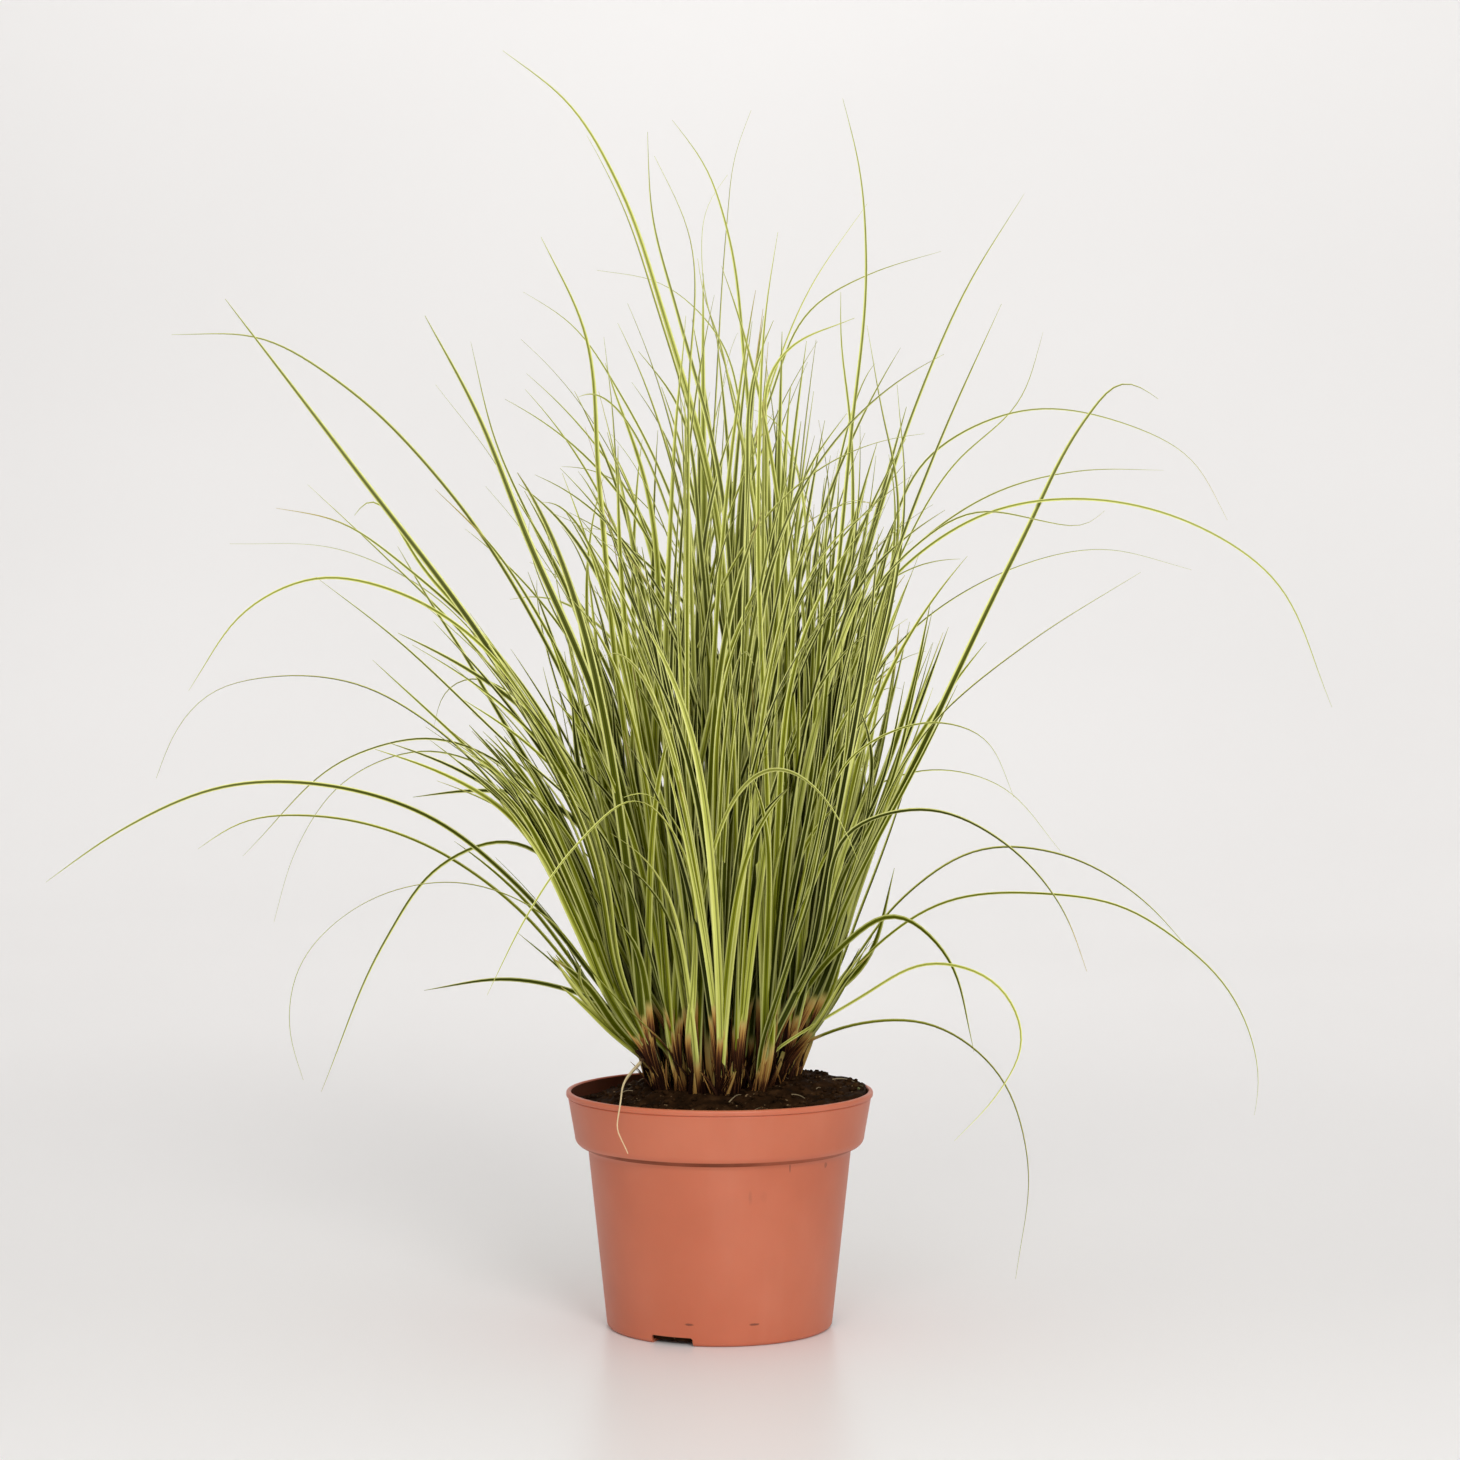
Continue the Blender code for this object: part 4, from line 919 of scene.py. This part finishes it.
def fibre_line(start, end):
    """A short line over the compost from one (x, y) in millimetres to another, a little arched."""
    points = []
    for share in (number / 6 for number in range(7)):
        x, y = (np.array(start) + np.subtract(end, start) * share) * MM
        points.append((x, y, crumbly_height(x, y) + (0.6 + sin(pi * share)) * MM))
    return smooth_path(points)


# Materials


def assign(socket, value):
    """Sets a node's input, or links it where the value is another node's output."""
    if isinstance(value, bpy.types.NodeSocket):
        socket.id_data.links.new(value, socket)
    else:
        socket.default_value = value


def add_node(kind, settings=None, output=0, tree=None, **inputs):
    """A node with its settings and inputs, named or, such as _0, by number; gives one of its outputs.
    It joins the tree that is given, or else that of the outputs it is linked to."""
    linked = [value.id_data for value in inputs.values() if isinstance(value, bpy.types.NodeSocket)]
    node = (tree or linked[0]).nodes.new(kind)
    for name, value in (settings or {}).items():
        setattr(node, name, value)
    for name, value in inputs.items():
        key = int(name[1:]) if name[1:].isdigit() else name.replace("_", " ")
        assign(node.inputs[key], value)
    return node.outputs[output]


def ramp(factor, stops):
    colours = add_node("ShaderNodeValToRGB", Fac=factor)
    elements = colours.node.color_ramp.elements
    while len(elements) < len(stops):
        elements.new(0.5)
    for element, (position, colour) in zip(elements, stops):
        element.position = position
        element.color = (*colour, 1.0)
    return colours


def blended(factor, first, second, blend="MIX"):
    """A colour mix: inputs 0, 6 and 7 are the factor and the two colours."""
    settings = {"data_type": "RGBA", "blend_type": blend}
    return add_node("ShaderNodeMix", settings, 2, _0=factor, _6=first, _7=second)


def maths(operation, first, second=0.0):
    return add_node("ShaderNodeMath", {"operation": operation}, _0=first, _1=second)


def times(first, second):
    return maths("MULTIPLY", first, second)


def weighted(value, weight, base):
    """base + weight * value"""
    return maths("ADD", times(value, weight), base)


def fitted(value, low, high):
    """0 at low, 1 at high and a smooth step between them."""
    settings = {"interpolation_type": "SMOOTHSTEP"}
    return add_node("ShaderNodeMapRange", settings, Value=value, From_Min=low, From_Max=high)


def noise_of(vector, scale, detail=3.0):
    return add_node("ShaderNodeTexNoise", Vector=vector, Scale=scale, Detail=detail)


def vector_maths(operation, first, second=(0.0, 0.0, 0.0), output=0):
    settings = {"operation": operation}
    return add_node("ShaderNodeVectorMath", settings, output, _0=first, _1=second)


def attribute(tree, name):
    return add_node("ShaderNodeAttribute", {"attribute_name": name}, "Fac", tree)


def object_place(tree):
    return add_node("ShaderNodeTexCoord", output="Object", tree=tree)


def blade_place(tree):
    """The blade's UV: across from edge to edge, and along in metres from the foot."""
    return add_node("ShaderNodeUVMap", {"uv_map": "Blade"}, tree=tree)


def new_material(name):
    material = bpy.data.materials.new(name)
    material.use_nodes = True
    return material, material.node_tree


def surfaced(colour, roughness, relief, strength, depth, gloss=0.5):
    """Gives the shader its colour, its roughness, a relief of the strength and depth, and its gloss."""
    normal = add_node("ShaderNodeBump", Height=relief, Strength=strength, Distance=depth)
    inputs = {"Base Color": colour, "Roughness": roughness, "Normal": normal, "Specular IOR Level": gloss}
    for name, value in inputs.items():
        assign(colour.id_data.nodes["Principled BSDF"].inputs[name], value)


def leaf_material():
    """Grass: olive green with fine veins, painted highlights along the margins, painted shade along the
    midrib, tan tips, and a foot that goes over straw to near black by withering and in part by painted
    shade.
    """
    material, tree = new_material("grass_blade")
    uv = blade_place(tree)
    side = add_node("ShaderNodeSeparateXYZ", Vector=uv)
    along = side.node.outputs[1]
    tone, wither_shade = attribute(tree, "tone"), attribute(tree, "wither_shade")
    across = maths("ABSOLUTE", maths("SUBTRACT", side, 0.5))
    own = add_node("ShaderNodeCombineXYZ", Z=tone)
    place = vector_maths("MULTIPLY", vector_maths("ADD", uv, own), (9.0, 14.0, 91.0))
    veins = noise_of(place, 1.6, 2.0)
    patches = noise_of(object_place(tree), 38.0, 2.0)

    greens = [
        (0.0, (0.020, 0.026, 0.0003)),
        (0.3, (0.052, 0.064, 0.0007)),
        (0.57, (0.165, 0.185, 0.0035)),
        (0.82, (0.410, 0.430, 0.036)),
        (1.0, (0.760, 0.775, 0.200)),
    ]
    green = ramp(weighted(patches, 0.24, weighted(tone, 1.06, -0.14)), greens)
    shaded = blended(1.0, green, (0.6, 0.63, 0.4, 1.0), "MULTIPLY")
    green = blended(fitted(veins, 0.35, 0.7), shaded, green)
    # Painted highlight: pale yellow stripes along both margins of each blade, stronger higher up
    strength = weighted(fitted(along, 0.04, 0.22), 0.56, 0.38)
    margin_highlight = times(fitted(across, 0.24, 0.38), strength)
    green = blended(margin_highlight, green, (0.94, 0.95, 0.34, 1.0))
    upper = times(fitted(along, 0.14, 0.38), 0.45)
    green = blended(upper, green, (0.66, 0.69, 0.22, 1.0))
    # Painted shade: a dark stripe along the folded midrib of each blade
    midrib_shade = times(fitted(across, 0.15, 0.0), 0.75)
    green = blended(midrib_shade, green, (0.040, 0.048, 0.001, 1.0))

    # Colours from green over straw and red-brown to near black: withering, and the near black in part
    # painted shade at the crown's base
    wither_and_shade = [
        (0.0, (0.36, 0.37, 0.07)),
        (0.2, (0.56, 0.41, 0.13)),
        (0.35, (0.50, 0.27, 0.065)),
        (0.5, (0.23, 0.09, 0.027)),
        (0.66, (0.070, 0.022, 0.010)),
        (1.0, (0.014, 0.005, 0.003)),
    ]
    frayed_wither_and_shade = times(wither_shade, weighted(veins, 3.4, -0.45))
    colour = blended(fitted(frayed_wither_and_shade, 0.02, 0.2), green, ramp(frayed_wither_and_shade, wither_and_shade))
    surfaced(colour, weighted(veins, 0.2, 0.42), veins, 0.35, 0.15 * MM, 0.07)
    return material


def straw_material(name, dull, pale, dark_foot):
    """Dead, dry grass: pale along its length with duller streaks, and dark up to dark_foot."""
    material, tree = new_material(name)
    uv = blade_place(tree)
    streaks = noise_of(vector_maths("MULTIPLY", uv, (6.0, 160.0, 1.0)), 1.0)
    along = add_node("ShaderNodeSeparateXYZ", output=1, Vector=uv)
    straw = ramp(streaks, [(0.3, dull), (0.6, pale)])
    above_foot = fitted(along, 0.75 * dark_foot, dark_foot)
    colour = blended(above_foot, (0.10, 0.05, 0.02, 1.0), straw)
    surfaced(colour, 0.75, streaks, 0.4, 0.2 * MM)
    return material


def pot_material():
    """Satin terracotta-coloured plastic: faint flow marks, moulding marks, soil stain and painted shade on
    the inside above the compost, and painted shade in the band's crease.
    """
    material, tree = new_material("terracotta_plastic")
    place = object_place(tree)
    clouds = noise_of(place, 22.0, 4.0)
    flow = noise_of(vector_maths("MULTIPLY", place, (60.0, 60.0, 9.0)), 1.0)
    terracotta = [
        (0.25, (0.535, 0.135, 0.062)),
        (0.5, (0.580, 0.157, 0.077)),
        (0.75, (0.625, 0.182, 0.095)),
    ]
    streaks = times(fitted(flow, 0.5, 0.8), 0.18)
    colour = blended(streaks, ramp(clouds, terracotta), (0.66, 0.24, 0.15, 1.0))
    wobble = noise_of(place, 420.0, 2.0)
    for centre, size, strength, softness in POT_MARKS:
        offset = vector_maths("DIVIDE", vector_maths("SUBTRACT", place, centre), size)
        away = maths("ADD", vector_maths("LENGTH", offset, output=1), wobble)
        mark = times(fitted(away, 1.25 + softness, 1.25 - softness), strength)
        colour = blended(mark, colour, (0.16, 0.045, 0.025, 1.0))
    # Soil stain and painted shade inside the pot above the compost, and painted shade in the band's
    # crease: near black, rougher and less glossy
    stain_and_shade_mask = fitted(weighted(clouds, 0.5, attribute(tree, "inside")), 0.75, 1.15)
    colour = blended(times(stain_and_shade_mask, 0.92), colour, (0.028, 0.008, 0.003, 1.0))
    roughness = weighted(stain_and_shade_mask, 0.4, weighted(flow, 0.18, 0.34))
    relief = weighted(flow, 1.5, noise_of(place, 900.0, 2.0))
    surfaced(colour, roughness, relief, 0.12, 0.1 * MM, weighted(stain_and_shade_mask, -0.45, 0.5))
    shader = tree.nodes["Principled BSDF"]
    for name, value in (("Weight", 0.3), ("Radius", (1.0, 0.4, 0.25)), ("Scale", 3.0 * MM)):
        shader.inputs[f"Subsurface {name}"].default_value = value
    return material


def soil_material():
    """Moist dark peat with paler crumbs and fibres."""
    material, tree = new_material("peat_compost")
    place = object_place(tree)
    lumps = noise_of(place, 160.0, 5.0)
    peat = [(0.3, (0.009, 0.0038, 0.0012)), (0.55, (0.028, 0.0118, 0.004)), (0.8, (0.072, 0.034, 0.013))]
    specks = fitted(noise_of(place, 520.0, 2.0), 0.66, 0.78)
    colour = blended(specks, ramp(lumps, peat), (0.25, 0.165, 0.085, 1.0))
    surfaced(colour, weighted(lumps, 0.28, 0.7), lumps, 0.9, 0.8 * MM, 0.05)
    return material


def moss_material():
    material, tree = new_material("moss_green")
    tufts = noise_of(object_place(tree), 700.0, 4.0)
    moss = [(0.35, (0.03, 0.035, 0.008)), (0.6, (0.16, 0.17, 0.05)), (0.75, (0.38, 0.38, 0.18))]
    surfaced(ramp(tufts, moss), 0.85, tufts, 0.8, 0.5 * MM)
    return material


def floor_material():
    material, tree = new_material("pale_floor")
    cloths = noise_of(object_place(tree), 1.2, 1.0)
    cast = ramp(cloths, [(0.3, (0.865, 0.85, 0.84)), (0.7, (0.90, 0.885, 0.875))])
    surfaced(cast, 0.32, cloths, 0.0, MM, 0.35)
    return material


# Pot


def band_foot():
    return POT_HEIGHT - BAND_HEIGHT


def arc(centre, radius, start, end, count):
    """Points (r, z) on a round stretch of a profile, angles in degrees."""
    angles = [radians(start + (end - start) * i / (count - 1)) for i in range(count)]
    return [tuple(np.add(centre, polar(radius, angle))) for angle in angles]


def pot_profile():
    """From the middle of the floor, up inside, over the rounded lip and down outside to the base."""
    foot = band_foot()
    inner_rim = RIM_RADIUS - LIP_DEPTH - WALL
    turn = radians(LEDGE_TURN)
    corner_radius = BAND_FOOT_RADIUS - BAND_CORNER
    depth = corner_radius + BAND_CORNER * cos(turn) - WALL_TOP_RADIUS
    fillet_radius = depth / (1.0 - cos(turn))
    fillet_foot = foot + BAND_CORNER - (BAND_CORNER + fillet_radius) * sin(turn)
    fillet_centre = (WALL_TOP_RADIUS + fillet_radius, fillet_foot)
    lip_foot = POT_HEIGHT - LIP_HEIGHT
    groove = RIM_RADIUS - LIP_DEPTH
    return [
        (0.0, WALL),
        (BASE_RADIUS - BASE_EDGE, WALL),
        (BASE_RADIUS - WALL, BASE_EDGE + WALL / 2),
        (WALL_TOP_RADIUS - WALL, foot + WALL),
        (corner_radius, foot + WALL),
        (BAND_FOOT_RADIUS - WALL, foot + BAND_CORNER),
        (inner_rim, POT_HEIGHT - 0.7 * MM),
        (inner_rim + 0.5 * MM, POT_HEIGHT),
        *arc((RIM_RADIUS - 0.9 * MM, POT_HEIGHT - 0.9 * MM), 0.9 * MM, 90.0, 0.0, 5),
        *arc((RIM_RADIUS - 0.5 * MM, lip_foot + 0.3 * MM), 0.5 * MM, 0.0, -80.0, 4),
        (groove - 0.25 * MM, lip_foot - 0.35 * MM),
        (groove, lip_foot - 0.9 * MM),
        *arc((corner_radius, foot + BAND_CORNER), BAND_CORNER, 0.0, -LEDGE_TURN, 9),
        *arc(fillet_centre, fillet_radius, 180.0 - LEDGE_TURN, 180.0, 9)[1:],
        (WALL_TOP_RADIUS - 0.2 * MM, fillet_foot - 2.0 * MM),
        *arc((BASE_RADIUS - BASE_EDGE, BASE_EDGE), BASE_EDGE, 0.0, -90.0, 6),
        (0.0, 0.0),
    ]


def turned(name, profile, steps):
    mesh = bpy.data.meshes.new(name)
    edges = [(i, i + 1) for i in range(len(profile) - 1)]
    mesh.from_pydata([(radius, 0.0, z) for radius, z in profile], edges, [])
    obj = placed(name, mesh)
    screw = obj.modifiers.new("Turn", "SCREW")
    screw.axis = "Z"
    screw.steps = screw.render_steps = steps
    screw.use_merge_vertices = True
    screw.merge_threshold = 0.01 * MM
    return obj


def mesh_from(shape, name):
    mesh = bpy.data.meshes.new(name)
    shape.to_mesh(mesh)
    shape.free()
    return mesh


def cutter_box(number):
    """The drain slot's shape, its edges along the radius rounded."""
    middle = BASE_RADIUS - SLOT_REACH / 2 + GAP
    size = Matrix.Diagonal((SLOT_REACH, SLOT_LENGTH, 2 * SLOT_HEIGHT, 1.0))
    shape = bmesh.new()
    bmesh.ops.create_cube(shape, size=1.0, matrix=Matrix.Translation((middle, 0, 0)) @ size)
    along = [edge for edge in shape.edges if abs((edge.verts[0].co - edge.verts[1].co).x) > MM]
    bmesh.ops.bevel(shape, geom=along, offset=1.1 * MM, segments=4, affect="EDGES", profile=0.5)
    shape.transform(Matrix.Rotation(SLOT_FIRST_ANGLE + number * tau / SLOT_COUNT, 4, "Z"))
    return placed(f"slot_{number}", mesh_from(shape, f"slot_{number}"))


def stain_and_shade(place):
    """How dark the pot is painted at a place: soil stain and painted shade on the inside above the
    compost, and a little painted shade in the band's crease.
    """
    radius = hypot(place.x, place.y)
    slope = (RIM_RADIUS - BAND_FOOT_RADIUS) / BAND_HEIGHT
    inner = RIM_RADIUS - LIP_DEPTH - WALL / 2 - (POT_HEIGHT - place.z) * slope
    if radius >= inner or not band_foot() - CREASE_DROP < place.z < POT_HEIGHT:
        return 0.0
    # Soil stain and painted shade in full on the inside, weaker painted shade in the crease under the band
    return 1.0 if place.z > band_foot() + BAND_CORNER - 0.1 * MM else CREASE_PAINTED_SHADE


def build_pot():
    pot = turned("turned_profile", pot_profile(), 144)
    cutters = [cutter_box(number) for number in range(SLOT_COUNT)]
    for cutter in cutters:
        modifier = pot.modifiers.new("Slot", "BOOLEAN")
        modifier.operation = "DIFFERENCE"
        modifier.solver = "EXACT"
        modifier.object = cutter
    mesh = bpy.data.meshes.new_from_object(pot.evaluated_get(bpy.context.evaluated_depsgraph_get()))
    for obj in (pot, *cutters):
        bpy.data.objects.remove(obj, do_unlink=True)
    # How dark each point of the pot is painted: soil stain and painted shade inside, painted shade in the
    # crease
    inside = [stain_and_shade(vertex.co) for vertex in mesh.vertices]
    mesh.attributes.new("inside", "FLOAT", "POINT").data.foreach_set("value", inside)
    mesh.materials.clear()
    add_piece("nursery_pot", mesh, pot_material(), "pot", sharp=32.0)


# Compost


def crumbly_height(x, y):
    """The compost's surface with lumps of several sizes, flattened against the pot."""
    here = Vector((x, y, 0.0))
    fade = eased(-hypot(x, y), -SOIL_EDGE, -SOIL_EDGE + 2.5 * MM)
    lumps = 0.0
    for height, spacing, shift in LUMPS:
        lumps += height * noise.noise(here / (spacing * MM) + Vector(shift))
    return soil_height(x, y) + lumps * MM * (0.35 + 0.65 * fade)


def soil_body():
    """A closed plug of compost: a fine polar grid on top, then the wall's steps down to the floor."""
    ledge = band_foot() + WALL + GAP
    steps = [
        (BAND_FOOT_RADIUS - WALL - 2 * GAP, band_foot() + BAND_CORNER + GAP),
        (BAND_FOOT_RADIUS - BAND_CORNER - GAP, ledge),
        (WALL_TOP_RADIUS - WALL - 2 * GAP, ledge),
        (BASE_RADIUS - WALL - 2 * GAP, BASE_EDGE + WALL),
        (BASE_RADIUS - BASE_EDGE - GAP, WALL + GAP),
    ]
    ways = [polar(1.0, tau * step / SOIL_AROUND) for step in range(SOIL_AROUND)]
    shape = bmesh.new()
    loops = []
    for ring in range(1, SOIL_RINGS + 1):
        radius = SOIL_EDGE * ring / SOIL_RINGS
        spots = [(radius * x, radius * y) for x, y in ways]
        loops.append([shape.verts.new((x, y, crumbly_height(x, y))) for x, y in spots])
    for radius, z in steps:
        loops.append([shape.verts.new((radius * x, radius * y, z)) for x, y in ways])
    top = shape.verts.new((0.0, 0.0, crumbly_height(0.0, 0.0)))
    for step in range(SOIL_AROUND):
        following = (step + 1) % SOIL_AROUND
        shape.faces.new((top, loops[0][step], loops[0][following]))
        for upper, lower in zip(loops, loops[1:]):
            shape.faces.new((upper[step], lower[step], lower[following], upper[following]))
    shape.faces.new(tuple(reversed(loops[-1])))
    return mesh_from(shape, "compost")


def add_crumb(shape, place, size, rng):
    """A low sphere pushed in and out."""
    made = bmesh.ops.create_icosphere(shape, subdivisions=1, radius=1.0)
    squash = Vector((rng.uniform(0.7, 1.3), rng.uniform(0.7, 1.3), rng.uniform(0.5, 0.95)))
    spin = Matrix.Rotation(rng.uniform(0.0, tau), 3, "Z")
    for vertex in made["verts"]:
        dent = 1.0 + 0.45 * noise.noise(vertex.co * 1.7 + place * 900.0)
        vertex.co = place + spin @ (vertex.co * dent * size * squash)


def crumbs_mesh(name, count, spot, sizes, rng):
    """Many small lumps in one mesh, each at a spot (x, y) on the compost."""
    shape = bmesh.new()
    for _ in range(count):
        x, y = spot(rng)
        size = rng.triangular(*sizes) * MM
        add_crumb(shape, Vector((x, y, crumbly_height(x, y) + 0.3 * size)), size, rng)
    return mesh_from(shape, name)


def anywhere(rng):
    return polar((SOIL_EDGE - MM) * sqrt(rng.random()), rng.uniform(0.0, tau))


def by_right_rim(rng):
    return polar(rng.uniform(57.0, 60.5) * MM, rng.uniform(-0.12, 0.2))


def build_soil():
    rng = random.Random(CLUMP_SEED + 1)
    peat, moss = soil_material(), moss_material()
    add_piece("compost", soil_body(), peat, "soil")
    for name, material, count, spot, sizes in (
        ("compost_crumbs", peat, CRUMBS, anywhere, (0.3, 1.7, 0.6)),
        ("rim_lumps", peat, RIM_LUMPS, by_right_rim, (1.2, 2.3, 1.7)),
        ("moss_bits", moss, MOSS_BITS, by_right_rim, (0.5, 1.3, 0.8)),
    ):
        add_piece(name, crumbs_mesh(name, count, spot, sizes, rng), material)


# Studio


def build_floor():
    bend = arc((BEND_START, BEND_RADIUS), BEND_RADIUS, -90.0, 0.0, 11)
    profile = [(-FLOOR_REACH, 0.0), *bend, (BEND_START + BEND_RADIUS, FLOOR_REACH)]
    shape = bmesh.new()
    rows = [[shape.verts.new((x, y, z)) for x in (-FLOOR_REACH, FLOOR_REACH)] for y, z in profile]
    for low, high in zip(rows, rows[1:]):
        shape.faces.new((low[0], low[1], high[1], high[0]))
    mesh = mesh_from(shape, "studio_floor")
    mesh.shade_smooth()
    mesh.materials.append(floor_material())
    placed("studio_floor", mesh)


def add_light(name, place, target, size, power):
    data = bpy.data.lights.new(name, "AREA")
    data.shape = "RECTANGLE"
    data.size, data.size_y = size
    data.energy = power
    light = placed(name, data)
    light.location = place
    light.rotation_euler = (Vector(target) - Vector(place)).to_track_quat("-Z", "Y").to_euler()


def build_lights():
    world = bpy.data.worlds.new("studio_world")
    world.use_nodes = True
    background = world.node_tree.nodes["Background"]
    background.inputs["Color"].default_value = (1.0, 0.985, 0.97, 1.0)
    background.inputs["Strength"].default_value = SKY_STRENGTH
    bpy.context.scene.world = world
    for light in LIGHTS:
        add_light(*light)


def build_camera():
    data = bpy.data.cameras.new("camera")
    data.sensor_width = 36.0
    camera = placed("camera", data)
    camera.location = (VIEW_CENTRE[0], -EYE_DISTANCE, EYE_HEIGHT)
    sight = Vector((VIEW_CENTRE[0], 0.0, VIEW_CENTRE[1])) - camera.location
    data.lens = data.sensor_width * sight.length / VIEW_WIDTH
    camera.rotation_euler = sight.to_track_quat("-Z", "Y").to_euler()
    bpy.context.scene.camera = camera


def build_scene():
    build_camera()
    shoots = plan_shoots()
    place_dry_strand(shoots)
    place_drawn_leaves(shoots)
    place_sown_leaves(shoots)
    build_shoots(shoots, leaf_material())
    build_dry_strand()
    build_pot()
    build_soil()
    build_floor()
    build_lights()
    bpy.context.scene.view_settings.view_transform = "Standard"


build_scene()
